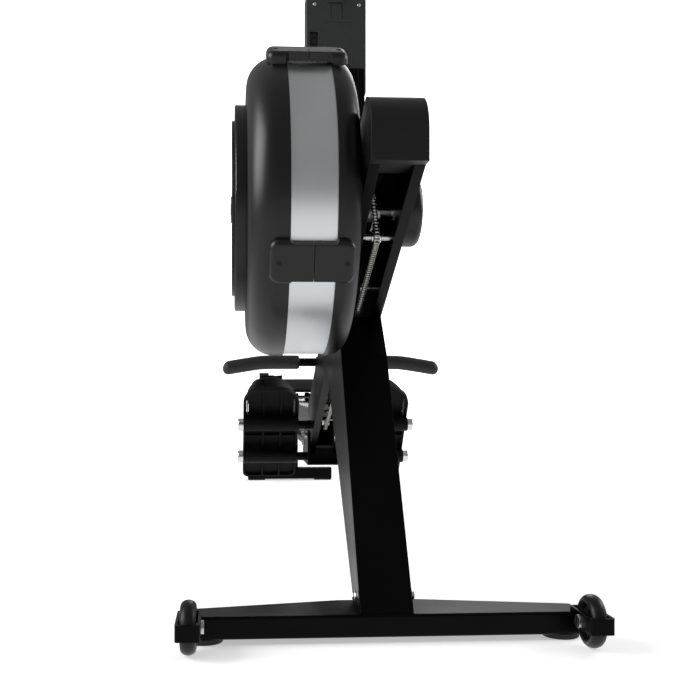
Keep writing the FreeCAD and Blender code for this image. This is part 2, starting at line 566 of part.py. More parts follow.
def arc_start(sector, centre):
    """Direction in (y, z) of the edge where a cylinder sector starts."""
    middle = sector.CenterOfMass
    span = max(e.LastParameter - e.FirstParameter for e in sector.Edges
               if e.Curve.TypeId == "Part::GeomCircle")
    angle = math.atan2(middle.z - centre[1], middle.y - centre[0]) - span / 2
    return math.cos(angle), math.sin(angle)


SPROCKET = (AXLE_Y, AXLE_Z)
IDLER = (IDLER_Y, IDLER_Z)
REAR_PULLEY = (REAR_PULLEY_Y, REAR_PULLEY_Z)
FRONT_PULLEY = (FRONT_PULLEY_Y, FRONT_PULLEY_Z)
IDLER_PITCH_R = IDLER_RADIUS + CHAIN_GAP + CHAIN_HEIGHT / 2
REAR_PITCH_R = REAR_PULLEY_RADIUS + CHAIN_GAP + CHAIN_HEIGHT / 2
FRONT_PITCH_R = FRONT_PULLEY_RADIUS + CHAIN_GAP + CORD_RADIUS
YOKE_POINT = (YOKE_FRONT_Y, HANDLE_Z + 6.0)


def chain_points():
    """Tangent points of the chain: handle run, sprocket, idler, rear pulley, return run."""
    start, on_sprocket = tangent_run(YOKE_POINT, 0.0, SPROCKET, SPROCKET_PITCH_R)
    off_sprocket, on_idler = tangent_run(SPROCKET, SPROCKET_PITCH_R, IDLER, IDLER_PITCH_R)
    off_idler, on_rear = tangent_run(IDLER, IDLER_PITCH_R, REAR_PULLEY, REAR_PITCH_R)
    off_rear, on_front = tangent_run(REAR_PULLEY, REAR_PITCH_R, FRONT_PULLEY, FRONT_PITCH_R)
    return start, on_sprocket, off_sprocket, on_idler, off_idler, on_rear, off_rear, on_front


def between(a, b, y):
    """The point at Y on the line between two points."""
    t = (y - a[0]) / (b[0] - a[0])
    return y, a[1] + t * (b[1] - a[1])


def chain_lead():
    start, on_sprocket = chain_points()[:2]
    return strip_run(start, on_sprocket)


def chain_loop():
    """Chain from the sprocket's top round the idler and the rear pulley to the swivel."""
    p = chain_points()
    end = between(p[6], p[7], SWIVEL_Y + SWIVEL_LENGTH / 2)
    pieces = [strip_arc(SPROCKET, SPROCKET_PITCH_R, p[1], p[2]), strip_run(p[2], p[3]),
              strip_arc(IDLER, IDLER_PITCH_R, p[3], p[4]), strip_run(p[4], p[5]),
              strip_arc(REAR_PULLEY, REAR_PITCH_R, p[5], p[6]), strip_run(p[6], end)]
    return pieces[0].fuse(pieces[1:]).removeSplitter()


def return_cord():
    """Elastic cord from its swivel round the front pulley to the anchor at the rear."""
    p = chain_points()
    start = between(p[6], p[7], SWIVEL_Y - SWIVEL_LENGTH / 2)
    chain_end = between(p[6], p[7], SWIVEL_Y + SWIVEL_LENGTH / 2)
    swivel_way = V(0, chain_end[0] - start[0], chain_end[1] - start[1])
    swivel = Part.makeCylinder(6.0, swivel_way.Length, V(0, *start), swivel_way)
    on_front = p[7]
    anchor = CORD_ANCHOR
    off_front = tangent_run(FRONT_PULLEY, FRONT_PITCH_R, anchor, 0.0)[0]
    a0, sweep = arc_angles(FRONT_PULLEY, on_front, off_front)
    mid = math.radians(a0 + sweep / 2)
    middle = V(0, FRONT_PULLEY_Y + FRONT_PITCH_R * math.cos(mid),
               FRONT_PULLEY_Z + FRONT_PITCH_R * math.sin(mid))
    first = Part.LineSegment(V(0, *start), V(0, *on_front)).toShape()
    arc = Part.Arc(V(0, *on_front), middle, V(0, *off_front)).toShape()
    last = Part.LineSegment(V(0, *off_front), V(0, *anchor)).toShape()
    way = V(0, on_front[0] - start[0], on_front[1] - start[1])
    circle = Part.Wire(Part.Circle(V(0, *start), way, CORD_RADIUS).toShape())
    cord = Part.Wire([first, arc, last]).makePipeShell([circle], True, False)
    expected = math.pi * CORD_RADIUS ** 2 * (first.Length + arc.Length + last.Length)
    print("return cord: volume / (section x length) =", round(cord.Volume / expected, 4),
          "bend radius", FRONT_PITCH_R)
    return group([cord, swivel])


def drive_sprocket():
    """Sprocket body under the chain, on its one-way clutch hub."""
    rim = rod_x(AXLE_Y, AXLE_Z, SPROCKET_PITCH_R - CHAIN_HEIGHT / 2 - CHAIN_GAP, -3.5, 3.5)
    hub = rod_x(AXLE_Y, AXLE_Z, 14, -14, 14)
    return rim.fuse(hub).cut(rod_x(AXLE_Y, AXLE_Z, AXLE_RADIUS + BORE_GAP, -20, 20))


def roller(centre, radius, half):
    return ring_x(centre[0], centre[1], radius, PIN_RADIUS + BORE_GAP, -half, half)


def drive_pins():
    """Pins across the channel for idler and pulleys, the idler's with a spacer each side."""
    pin = rod_x(IDLER_Y, IDLER_Z, PIN_RADIUS, -FRAME_HALF, FRAME_HALF)
    left = rod_x(IDLER_Y, IDLER_Z, 5.0, -16.5, -8.0)
    right = rod_x(IDLER_Y, IDLER_Z, 5.0, 8.0, 20.2)
    others = [rod_x(y, z, PIN_RADIUS, -FRAME_HALF, FRAME_HALF)
              for y, z in (REAR_PULLEY, FRONT_PULLEY)]
    return group([pin.fuse([left, right])] + others)


# ---- handle ----------------------------------------------------------------------------------
def handle_path(x0, x1):
    """Centre line of the right half of the bar: level, a bend, then drooping."""
    droop = math.radians(HANDLE_DROOP_DEG)
    bend = 60.0
    reach = bend * math.tan(droop / 2)
    level_end = V(HANDLE_BEND_X - reach, HANDLE_Y, HANDLE_Z)
    corner = V(HANDLE_BEND_X, HANDLE_Y, HANDLE_Z)
    down = V(math.cos(droop), 0, -math.sin(droop))
    slope_start = corner + down * reach
    middle = V(level_end.x + bend * math.sin(droop / 2), HANDLE_Y,
               HANDLE_Z - bend * (1 - math.cos(droop / 2)))
    end = corner + down * ((x1 - HANDLE_BEND_X) / math.cos(droop))
    edges = [Part.LineSegment(V(x0, HANDLE_Y, HANDLE_Z), level_end).toShape(),
             Part.Arc(level_end, middle, slope_start).toShape(),
             Part.LineSegment(slope_start, end).toShape()]
    return Part.Wire(edges)


def bent_tube(radius, x0, x1):
    circle = Part.Wire(Part.Circle(V(x0, HANDLE_Y, HANDLE_Z), X_AXIS, radius).toShape())
    return handle_path(x0, x1).makePipeShell([circle], True, False)


def handle_bar():
    half = bent_tube(BAR_RADIUS, 0, HANDLE_HALF - 6)
    return half.fuse(mirrored(half)).removeSplitter()


def grip():
    """Right foam grip with a rounded closed end."""
    outer = bent_tube(GRIP_RADIUS, GRIP_START_X, HANDLE_HALF)
    ends = [e for e in outer.Edges if e.Curve.TypeId == "Part::GeomCircle"
            and abs(e.Length - 2 * math.pi * GRIP_RADIUS) < 0.5
            and (e.CenterOfMass.x < GRIP_START_X + 1 or e.CenterOfMass.x > HANDLE_HALF - 3)]
    outer = outer.makeFillet(4.0, ends)
    return outer.cut(bent_tube(BAR_RADIUS, GRIP_START_X - 2, HANDLE_HALF - 6))


def chain_yoke():
    """Forked link from the bar's middle to the chain."""
    clamp = ring_x(HANDLE_Y, HANDLE_Z, BAR_RADIUS + 4, BAR_RADIUS, -13, 13)
    front = YOKE_FRONT_Y + 1.4
    neck = prism_x([(front, YOKE_POINT[1] - 5), (front, YOKE_POINT[1] + 5),
                    (HANDLE_Y - 6, HANDLE_Z + 9), (HANDLE_Y - 6, HANDLE_Z - 5)], -7, 7)
    inside = rod_x(HANDLE_Y, HANDLE_Z, BAR_RADIUS + 2, -20, 20)
    return clamp.fuse(neck.cut(inside)).removeSplitter()


def handle_cradle():
    """Ledge on the beam with a horn in front of the bar on each side of the chain."""
    lift = math.tan(math.radians(8.0))
    seat_z = HANDLE_Z - BAR_RADIUS - 0.4
    y0, y1 = CRADLE_Y0, CRADLE_Y1
    horn = [(y0, beam_top(y0)), (y0 + 12, beam_top(y0) + 14), (HANDLE_Y - 15, HANDLE_Z + 12),
            (HANDLE_Y - 10, HANDLE_Z + 12), (HANDLE_Y - 9.5, HANDLE_Z - 2),
            (HANDLE_Y - 6, seat_z - 0.3), (HANDLE_Y + 9, seat_z + 9 * lift - 1.4),
            (y1, beam_top(y1) + 6), (y1, beam_top(y1))]
    plate = prism_x(horn, CRADLE_X0, CRADLE_X1)
    base = prism_x([(y0, beam_top(y0)), (y0, beam_top(y0) + 4), (y1, beam_top(y1) + 4),
                    (y1, beam_top(y1))], -CRADLE_X1, CRADLE_X1)
    return base.fuse([plate, mirrored(plate)]).removeSplitter()


# ---- rail and rear foot ----------------------------------------------------------------------
def rail_beam():
    """Extruded rail: wide flanges, narrower hollow web with a running groove each side."""
    half, web = FRAME_HALF, RAIL_WEB_HALF
    low, high = RAIL_Z0 + RAIL_FLANGE, RAIL_Z1 - RAIL_FLANGE
    section = [(-half, RAIL_Z0), (half, RAIL_Z0), (half, low), (web, low), (web, high),
               (half, high), (half, RAIL_Z1), (-half, RAIL_Z1), (-half, high), (-web, high),
               (-web, low), (-half, low)]
    body = prism_y(section, RAIL_Y0, RAIL_Y1)
    hollow = box(-web + 4, web - 4, RAIL_Y0 - 1, RAIL_Y1 + 1, RAIL_Z0 + 6, RAIL_Z1 - 6)
    return body.cut(hollow)


def rail_track():
    """Steel running strip on the rail's top."""
    return box(-TRACK_HALF, TRACK_HALF, TRACK_Y0, TRACK_Y1, RAIL_Z1, RAIL_Z1 + TRACK_T)


def rail_end_cap():
    cap = rounded_box(-FRAME_HALF - 1, FRAME_HALF + 1, RAIL_Y1, RAIL_Y1 + 8, RAIL_Z0 - 1,
                      RAIL_Z1 + 2, 6.0, Y_AXIS)
    return cap


def rail_stops():
    """Rubber stops at both ends of the running strip."""
    z0 = RAIL_Z1 + TRACK_T
    return group(rounded_box(-STOP_HALF, STOP_HALF, y, y + STOP_DEPTH, z0, z0 + STOP_HEIGHT, 5.0,
                             X_AXIS) for y in (STOP_FRONT_Y, STOP_REAR_Y))


def rail_bracket():
    """Steel saddle that joins beam and rail and carries the lower foot rods."""
    outer = box(-FRAME_HALF - SADDLE_WALL, FRAME_HALF + SADDLE_WALL, SADDLE_Y0, SADDLE_Y1,
                SADDLE_Z0, SADDLE_Z1)
    floor_z = SADDLE_Z0 + SADDLE_FLOOR
    inner = box(-FRAME_HALF, FRAME_HALF, SADDLE_Y0 - 50, SADDLE_Y1 + 50, floor_z, RAIL_Z1)
    plug = box(-FRAME_HALF, FRAME_HALF, RAIL_Y0 + 1, SADDLE_Y1 - 4, floor_z, RAIL_Z0)
    return outer.cut(inner).fuse(plug).removeSplitter()


def rear_leg():
    """Rear stand: mounting plate, post and cross bar welded together."""
    post = rounded_box(-30, 30, REAR_POST_Y0, REAR_POST_Y1, REAR_FOOT_Z1 - 1, RAIL_Z0 - 5, 6.0,
                       Z_AXIS)
    plate = box(-36, 36, REAR_POST_Y0 - 16, REAR_POST_Y1 + 6, RAIL_Z0 - 5, RAIL_Z0)
    bar = rounded_box(-REAR_FOOT_HALF, REAR_FOOT_HALF, REAR_BAR_Y0, REAR_BAR_Y1, REAR_FOOT_Z0,
                      REAR_FOOT_Z1, 7.0, X_AXIS)
    return post.fuse([plate, bar]).removeSplitter()


# ---- footrests -------------------------------------------------------------------------------
PLATE_LENGTH = math.hypot(HEEL_Y - TOE_Y, TOE_Z - HEEL_Z)
PLATE_TILT = math.degrees(math.atan2(TOE_Z - HEEL_Z, HEEL_Y - TOE_Y))


def lay_on_plate(shape):
    """Turns a shape drawn flat (Y along the sole from the toe, Z off the sole) onto the plate."""
    placed = shape.copy()
    placed.rotate(V(0, 0, 0), X_AXIS, -PLATE_TILT)
    placed.translate(V(0, TOE_Y, TOE_Z))
    return placed


def plate_outline(inset, toe_radius, heel_radius, z0, z1):
    """Right footplate's outline with large toe corners and small heel corners."""
    block = box(PLATE_X0 + inset, PLATE_X1 - inset, inset, PLATE_LENGTH - inset, z0, z1)
    for end_y, radius in ((inset, toe_radius), (PLATE_LENGTH - inset, heel_radius)):
        corners = [e for e in block.Edges if e.Curve.TypeId == "Part::GeomLine"
                   and abs(e.tangentAt(e.FirstParameter).z) > 0.9
                   and abs(e.CenterOfMass.y - end_y) < 0.01]
        block = block.makeFillet(radius, corners)
    return block


def footplate():
    """Right footplate: rimmed board, ribs underneath and a sleeve round each rod."""
    board = plate_outline(0, 42.0, 14.0, 0, PLATE_T)
    pocket = plate_outline(5.0, 38.0, 10.0, -1, PLATE_T - 5)
    board = board.cut(pocket)
    parts = [box(PLATE_X0 + 40 * i - 2, PLATE_X0 + 40 * i + 2, 5, PLATE_LENGTH - 5, 0, PLATE_T - 4)
             for i in (1, 2)]
    parts.append(box(PLATE_X0 + 4, PLATE_X1 - 4, 133, 137, 0, PLATE_T - 4))
    board = board.fuse(parts)
    slot_y = STRAP_U - STRAP_WIDTH / 2 - 1
    for x in (PLATE_X0 + 7, PLATE_X1 - 7 - 4.6):
        board = board.cut(box(x, x + 4.6, slot_y, slot_y + STRAP_WIDTH + 2, -5, 30))
    board = lay_on_plate(board)
    keep = lay_on_plate(box(PLATE_X0, PLATE_X1, -20, PLATE_LENGTH + 20, -60, PLATE_T - 3))
    sleeves = [rod_x(y, z, SLEEVE_RADIUS, PLATE_X0, PLATE_X1).common(keep) for y, z in ROD_PLACES]
    board = board.fuse(sleeves).removeSplitter()
    for y, z in ROD_PLACES:
        board = board.cut(rod_x(y, z, ROD_RADIUS, PLATE_X0 - 5, PLATE_X1 + 5))
    return board


def foot_rods():
    """Rods from the beam and the saddle out to the footplates' far sides."""
    upper, lower = ROD_PLACES
    rods = [rod_x(upper[0], upper[1], ROD_RADIUS, FRAME_HALF, PLATE_X1),
            rod_x(lower[0], lower[1], ROD_RADIUS, FRAME_HALF + SADDLE_WALL, PLATE_X1)]
    return both_sides(group(rods))


def rod_caps():
    caps = []
    for y, z in ROD_PLACES:
        cap = rod_x(y, z, ROD_CAP_RADIUS, PLATE_X1, PLATE_X1 + ROD_CAP_T)
        caps.append(cap.makeFillet(2.0, [e for e in cap.Edges
                                         if abs(e.CenterOfMass.x - PLATE_X1 - ROD_CAP_T) < 0.01]))
    return both_sides(group(caps))


def heel_cup():
    """Right sliding heel cup: thin base, curved heel wall and two low sides."""
    middle = (PLATE_X0 + PLATE_X1) / 2
    z0 = PLATE_T + RUN
    length = HEEL_CUP_U1 - HEEL_CUP_U0

    def layer(inset, low, high):
        block = box(middle - HEEL_CUP_HALF + inset, middle + HEEL_CUP_HALF - inset, HEEL_CUP_U0,
                    HEEL_CUP_U1 - inset, low, high)
        corners = [e for e in block.Edges if abs(e.tangentAt(e.FirstParameter).z) > 0.9
                   and e.CenterOfMass.y > HEEL_CUP_U1 - inset - 1]
        return block.makeFillet(40.0 - inset, corners)
    cup = layer(0, z0, z0 + HEEL_CUP_RISE).cut(layer(3.0, z0 + 3, z0 + 100))
    slope = prism_x([(HEEL_CUP_U0 - 1, z0 + 3), (HEEL_CUP_U0 - 1, 200), (HEEL_CUP_U1 - 20, 200),
                     (HEEL_CUP_U1 - 20, z0 + HEEL_CUP_RISE), (HEEL_CUP_U0 + length * 0.4, z0 + 16)],
                    0, 300)
    return lay_on_plate(cup.cut(slope))


def strap_outline(inset):
    """Right strap's arch in the (x, off-sole) plane, from slot to slot over the foot."""
    x0, x1 = PLATE_X0 + 8 + inset, PLATE_X1 - 8 - inset
    top = STRAP_RISE - inset
    shoulder = 28.0
    return [(x0, -3.0), (x0, top - 46), (x0 + shoulder, top), (x1 - shoulder, top),
            (x1, top - 46), (x1, -3.0)]


def foot_strap():
    """Right webbing strap over the foot."""
    y0 = STRAP_U - STRAP_WIDTH / 2
    outer = prism([V(x, y0, z) for x, z in strap_outline(0)], V(0, STRAP_WIDTH, 0))
    inner_points = strap_outline(STRAP_T)
    inner_points[0] = (inner_points[0][0], -4.0)
    inner_points[-1] = (inner_points[-1][0], -4.0)
    inner = prism([V(x, y0 - 1, z) for x, z in inner_points], V(0, STRAP_WIDTH + 2, 0))
    return lay_on_plate(outer.cut(inner))


def strap_buckle():
    """Frame of the cam buckle on top of the right strap."""
    x0 = PLATE_X1 - 8 - 28 - 36
    z0 = STRAP_RISE + RUN
    y0, y1 = STRAP_U - STRAP_WIDTH / 2 - 4, STRAP_U + STRAP_WIDTH / 2 + 4
    base = box(x0, x0 + 34, y0, y1, z0, z0 + 2)
    cheeks = [box(x0 + 12, x0 + 34, y0, y0 + 2.5, z0, z0 + 11),
              box(x0 + 12, x0 + 34, y1 - 2.5, y1, z0, z0 + 11)]
    return lay_on_plate(base.fuse(cheeks).removeSplitter())


# ---- seat ------------------------------------------------------------------------------------
def seat_pad():
    """Contoured seat cushion, simplified to its outer form."""
    half, depth = SEAT_HALF, SEAT_DEPTH / 2
    block = box(-half, half, SEAT_Y - depth, SEAT_Y + depth, SEAT_Z0, SEAT_Z1)
    block = round_edges(block, 70.0, Z_AXIS)
    top = [e for e in block.Edges if abs(e.CenterOfMass.z - SEAT_Z1) < 0.01]
    block = block.makeFillet(12.0, top)
    return block


def seat_carriage():
    """Pressed carriage: plate under the seat and side cheeks beside the rail."""
    y0, y1 = SEAT_Y - CARRIAGE_HALF_LENGTH, SEAT_Y + CARRIAGE_HALF_LENGTH
    plate = box(-48, 48, y0, y1, CARRIAGE_TOP_Z0, CARRIAGE_TOP_Z1)
    spacer = box(-44, 44, SEAT_Y - 60, SEAT_Y + 60, CARRIAGE_TOP_Z1, SEAT_Z0)
    cheek = box(CHEEK_X0, CHEEK_X1, y0, y1, CHEEK_Z0, CARRIAGE_TOP_Z0)
    cheek = round_edges(cheek, 9.0, X_AXIS)
    body = plate.fuse([spacer, cheek, mirrored(cheek)])
    for y, z in roller_places():
        body = body.cut(rod_x(y, z, PIN_RADIUS, -60, 60))
    return body


def roller_places():
    z = RAIL_Z1 + TRACK_T + ROLLER_RADIUS + 0.05
    return [(SEAT_Y - ROLLER_SPACING / 2, z), (SEAT_Y + ROLLER_SPACING / 2, z)]


def guide_shoes():
    """Plastic shoes on the cheeks that run under the rail's top flange."""
    high = RAIL_Z1 - RAIL_FLANGE - RUN
    shoe = rounded_box(26, CHEEK_X0, SEAT_Y - 60, SEAT_Y + 60, high - 10, high, 2.0, Y_AXIS)
    return both_sides(shoe)


def roller_pair(place):
    """Two grooved top rollers on one line."""
    wheel_shape = ring_x(place[0], place[1], ROLLER_RADIUS, PIN_RADIUS + BORE_GAP, ROLLER_X0,
                         ROLLER_X1)
    rims = [e for e in wheel_shape.Edges if e.Curve.TypeId == "Part::GeomCircle"
            and e.Length > 2 * math.pi * (ROLLER_RADIUS - 1)]
    return both_sides(wheel_shape.makeFillet(1.5, rims))


def roller_axles():
    end_x = CHEEK_X1 + 3
    return group([rod_x(y, z, PIN_RADIUS, -end_x, end_x) for y, z in roller_places()])


# ---- monitor ---------------------------------------------------------------------------------
def arm_bracket():
    """Plate on the beam's right face that carries the monitor arm's pivot."""
    y, z = ARM_PIVOT_Y, ARM_PIVOT_Z
    plate = prism_x([(y - 40, z - 22), (y + 34, z - 40), (y + 28, z + 22), (y - 30, z + 26)],
                    FRAME_HALF, ARM_X0 - RUN)
    pin = rod_x(y, z, 7.0, FRAME_HALF, ARM_X1 + 3)
    head = rod_x(y, z, 12.0, ARM_X1 + RUN, ARM_X1 + 6)
    return plate.fuse([pin, head])


def monitor_arm():
    """Flat-sided arm on the right face, leaning back, with a foot across to the monitor."""
    y, z = ARM_PIVOT_Y, ARM_PIVOT_Z
    top_z = TILT_Z + 14
    side = [(y - 18, z - 18), (y + 18, z - 18), (TILT_Y - 3, top_z - 34), (TILT_Y - 3, top_z),
            (TILT_Y - 26, top_z), (TILT_Y - 30, top_z - 34)]
    arm = prism_x(side, ARM_X0, ARM_X1)
    arm = round_edges(arm, 8.0, X_AXIS)
    cross = rounded_box(-26, ARM_X0, TILT_Y - 23, TILT_Y - 11, TILT_Z - 14, TILT_Z + 14, 4.0,
                        X_AXIS)
    ears = [rounded_box(x0, x0 + 6, TILT_Y - 18, TILT_Y + 9, TILT_Z - 9, TILT_Z + 9, 5.0, X_AXIS)
            for x0 in (-26.0, 20.0)]
    body = arm.fuse([cross] + ears).removeSplitter()
    body = body.cut(rod_x(y, z, 7.0 + BORE_GAP, 30, 70))
    return body.fuse(rod_x(TILT_Y, TILT_Z, 4.0, -26, 26)).removeSplitter()


def monitor_back():
    """Rear half of the monitor's housing with its tilt knuckle."""
    half = MONITOR_HALF
    back = rounded_box(-half, half, MONITOR_BACK_Y, MONITOR_SPLIT_Y, MONITOR_Z0, MONITOR_Z1, 14.0,
                       Y_AXIS)
    edge = [e for e in back.Edges if abs(e.CenterOfMass.y - MONITOR_BACK_Y) < 0.01]
    back = back.makeFillet(3.0, edge)
    hollow = rounded_box(-half + 2.5, half - 2.5, MONITOR_BACK_Y + 2.5, MONITOR_SPLIT_Y + 1,
                         MONITOR_Z0 + 2.5, MONITOR_Z1 - 2.5, 11.5, Y_AXIS)
    back = back.cut(hollow)
    socket = box(-55, -37, MONITOR_BACK_Y - 1, MONITOR_BACK_Y + 8, 1042, 1083)
    pocket = box(-57, -35, MONITOR_BACK_Y + 2, MONITOR_BACK_Y + 10, 1040, 1085)
    back = back.fuse(pocket).cut(socket)
    knuckle = rod_x(TILT_Y, TILT_Z, 8.0, -19.7, 19.7)
    tongue = box(-19.7, 19.7, TILT_Y + 1, MONITOR_BACK_Y + 1, TILT_Z - 7, TILT_Z + 7)
    clip = rounded_box(-18, 15, MONITOR_BACK_Y - 5, MONITOR_BACK_Y + 1, 1143, MONITOR_Z1 - 1, 4.0,
                       Y_AXIS)
    back = back.fuse([knuckle, tongue, clip]).removeSplitter()
    door_gap = box(-24, 32, MONITOR_BACK_Y - 1, MONITOR_BACK_Y + 1.6, 1012, 1104)
    back = back.cut(door_gap)
    return back.cut(rod_x(TILT_Y, TILT_Z, 4.0 + BORE_GAP, -40, 40))


def battery_door():
    door = rounded_box(-23.6, 31.6, MONITOR_BACK_Y, MONITOR_BACK_Y + 1.5, 1012.4, 1103.6, 3.0,
                       Y_AXIS)
    return door


def monitor_bezel():
    """Front half of the monitor with the screen window and the button holes."""
    half = MONITOR_HALF
    front = rounded_box(-half, half, MONITOR_SPLIT_Y, MONITOR_FACE_Y, MONITOR_Z0, MONITOR_Z1, 14.0,
                        Y_AXIS)
    edge = [e for e in front.Edges if abs(e.CenterOfMass.y - MONITOR_FACE_Y) < 0.01]
    front = front.makeFillet(3.0, edge)
    hollow = rounded_box(-half + 2.5, half - 2.5, MONITOR_SPLIT_Y - 1, MONITOR_FACE_Y - 3,
                         MONITOR_Z0 + 2.5, MONITOR_Z1 - 2.5, 11.5, Y_AXIS)
    window = rounded_box(-50, 50, MONITOR_FACE_Y - 5, MONITOR_FACE_Y + 5, 1002, 1144, 3.0, Y_AXIS)
    front = front.cut(hollow).cut(window)
    for x in BUTTON_X:
        front = front.cut(Part.makeCylinder(BUTTON_RADIUS + 0.4, 20, V(x, MONITOR_FACE_Y - 10,
                                                                      BUTTON_Z), Y_AXIS))
    return front


def monitor_screen():
    return box(-54, 54, MONITOR_FACE_Y - 5.5, MONITOR_FACE_Y - 3, 998, 1148)


def monitor_button(x):
    """Round key with a collar behind the bezel."""
    y1 = MONITOR_FACE_Y + 2.0
    key = Part.makeCylinder(BUTTON_RADIUS, 6.0, V(x, y1 - 6.0, BUTTON_Z), Y_AXIS)
    key = key.makeFillet(1.0, [e for e in key.Edges if abs(e.CenterOfMass.y - y1) < 0.01])
    collar = Part.makeCylinder(BUTTON_RADIUS + 1.6, 1.0, V(x, MONITOR_FACE_Y - 4.2, BUTTON_Z),
                               Y_AXIS)
    return key.fuse(collar)


# ---- write every sub-part --------------------------------------------------------------------
def sub_parts():
    """Every sub-part's node name and shape."""
    left_shell = fan_shell(LEFT_LIP_X, LEFT_FACE_X, LEFT_SHOULDER, 140.0, BRIDGE_X0)
    right_shell = fan_shell(RIGHT_LIP_X, RIGHT_FACE_X, RIGHT_SHOULDER, BEARING_RADIUS,
                            BRIDGE_X1)
    front_rollers, rear_rollers = [roller_pair(place) for place in roller_places()]
    parts = {
        "front_foot": front_foot(), "floor_pads": floor_pads(), "main_leg": main_leg(),
        "frame_bolts": frame_bolts(), "main_beam": main_beam(), "nose_cover": nose_cover(),
        "chain_guard": chain_guard(), "wheel_forks": both_sides(wheel_fork()),
        "wheel_axles": both_sides(wheel_axle()), "transport_wheel_right": wheel(),
        "transport_wheel_left": mirrored(wheel()),
        "rim_band": rim_band(), "fan_shell_left": left_shell, "fan_shell_right": right_shell,
        "intake_cover": intake_cover(), "damper_dial": damper_dial(), "fan_axle": fan_axle(),
        "axle_bearings": axle_bearings(), "fan_wheel": fan_wheel(),
        "flywheel_ring": flywheel_ring(), "bearing_cap": bearing_cap(),
        "chain_lead": chain_lead(), "chain_loop": chain_loop(), "return_cord": return_cord(),
        "drive_sprocket": drive_sprocket(), "chain_idler": roller(IDLER, IDLER_RADIUS, 7.5),
        "drive_pins": drive_pins(),
        "rear_pulley": roller(REAR_PULLEY, REAR_PULLEY_RADIUS, PULLEY_HALF_WIDTH),
        "front_pulley": roller(FRONT_PULLEY, FRONT_PULLEY_RADIUS, PULLEY_HALF_WIDTH),
        "handle_bar": handle_bar(), "handle_grips": both_sides(grip()),
        "chain_yoke": chain_yoke(), "handle_cradle": handle_cradle(),
        "rail_beam": rail_beam(), "rail_track": rail_track(), "rail_end_cap": rail_end_cap(),
        "rail_stops": rail_stops(), "rail_bracket": rail_bracket(), "rear_leg": rear_leg(),
        "footplates": both_sides(footplate()), "foot_rods": foot_rods(), "rod_caps": rod_caps(),
        "heel_cup_right": heel_cup(), "heel_cup_left": mirrored(heel_cup()),
        "foot_straps": both_sides(foot_strap()), "strap_buckles": both_sides(strap_buckle()),
        "seat_pad": seat_pad(), "seat_carriage": seat_carriage(), "guide_shoes": guide_shoes(),
        "front_rollers": front_rollers, "rear_rollers": rear_rollers,
        "roller_axles": roller_axles(),
        "arm_bracket": arm_bracket(), "monitor_arm": monitor_arm(),
        "monitor_back": monitor_back(), "battery_door": battery_door(),
        "monitor_bezel": monitor_bezel(), "monitor_screen": monitor_screen(),
    }
    for number, x in enumerate(BUTTON_X, 1):
        parts[f"monitor_button_{number}"] = monitor_button(x)
    return parts


def main():
    os.makedirs("parts", exist_ok=True)
    for name, shape in sub_parts().items():
        save(name, shape)


if __name__ == "__main__":
    main()
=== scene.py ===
"""Looks of an air-resistance rowing machine, laid out as a Blender add-on and run as a script.

Every length is in metres in the machine's own frame: X across, Y from the fan drum towards the
rail's free end, Z up, with zero on the floor under the machine's middle.
"""

import math

import bmesh
import bpy
import numpy as np
from mathutils import Matrix, Vector


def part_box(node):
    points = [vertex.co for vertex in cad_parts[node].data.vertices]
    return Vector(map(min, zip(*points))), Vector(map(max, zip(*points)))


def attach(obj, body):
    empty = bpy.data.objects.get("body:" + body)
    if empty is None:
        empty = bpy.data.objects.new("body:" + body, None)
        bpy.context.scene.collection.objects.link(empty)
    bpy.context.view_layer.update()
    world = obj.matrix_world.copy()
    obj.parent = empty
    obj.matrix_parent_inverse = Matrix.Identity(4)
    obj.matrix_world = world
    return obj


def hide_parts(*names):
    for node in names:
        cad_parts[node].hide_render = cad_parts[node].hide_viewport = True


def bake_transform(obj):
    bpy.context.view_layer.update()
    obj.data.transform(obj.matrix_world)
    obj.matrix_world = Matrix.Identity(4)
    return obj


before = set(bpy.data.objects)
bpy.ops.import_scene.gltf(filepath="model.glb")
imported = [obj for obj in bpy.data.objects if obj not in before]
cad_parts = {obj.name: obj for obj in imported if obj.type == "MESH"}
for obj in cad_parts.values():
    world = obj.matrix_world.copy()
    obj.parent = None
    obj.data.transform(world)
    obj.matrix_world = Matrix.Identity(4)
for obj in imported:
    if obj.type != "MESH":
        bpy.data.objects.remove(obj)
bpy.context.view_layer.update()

bl_info = {
    "name": "Rowing machine",
    "version": (1, 0, 0),
    "blender": (4, 5, 0),
    "location": "View3D > Sidebar > Rower",
    "description": "Builds the rowing machine's surfaces and finishes round its CAD frame",
    "category": "Object",
}

MM = 0.001
TAU = 2 * math.pi
CHAIN_PITCH = 6.35 * MM
CHAIN_HALF_HEIGHT = 2.8 * MM
CHAIN_GAP = 0.4 * MM
SPROCKET_TEETH = 28
LUG_DEGREES = (27.0, 117.0, 243.0, 333.0)       # from straight up, towards the front
LUG_SCREW_X = (-153 * MM, -62 * MM)
LUG_RISE = 16.8 * MM                            # lug's top above the rim band
LEG_BOLTS = ((57, 54), (30, 60))                # (y from the front foot's face, z) in mm
SADDLE_BOLTS = ((884, 238), (975, 238), (975, 216))
TOE, HEEL = (827, 343), (986, 134)              # ends of the sole, as the bolts' places
MATERIALS = {}


def corners(node):
    """Lowest and highest corner of a CAD node as arrays."""
    low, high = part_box(node)
    return np.array(low), np.array(high)


def middle(node):
    """Centre of a CAD node's box."""
    low, high = corners(node)
    return (low + high) / 2


# ---- numbers and colours ---------------------------------------------------------------------
def linear(hex_colour):
    """An sRGB hex colour as linear red, green, blue and an alpha of one."""
    values = [int(hex_colour[i:i + 2], 16) / 255 for i in (1, 3, 5)]
    curve = [v / 12.92 if v <= 0.04045 else ((v + 0.055) / 1.055) ** 2.4 for v in values]
    return (*curve, 1.0)


def per_mm(size):
    """Texture scale at which a pattern repeats about every size millimetres."""
    return 1.0 / (size * MM)


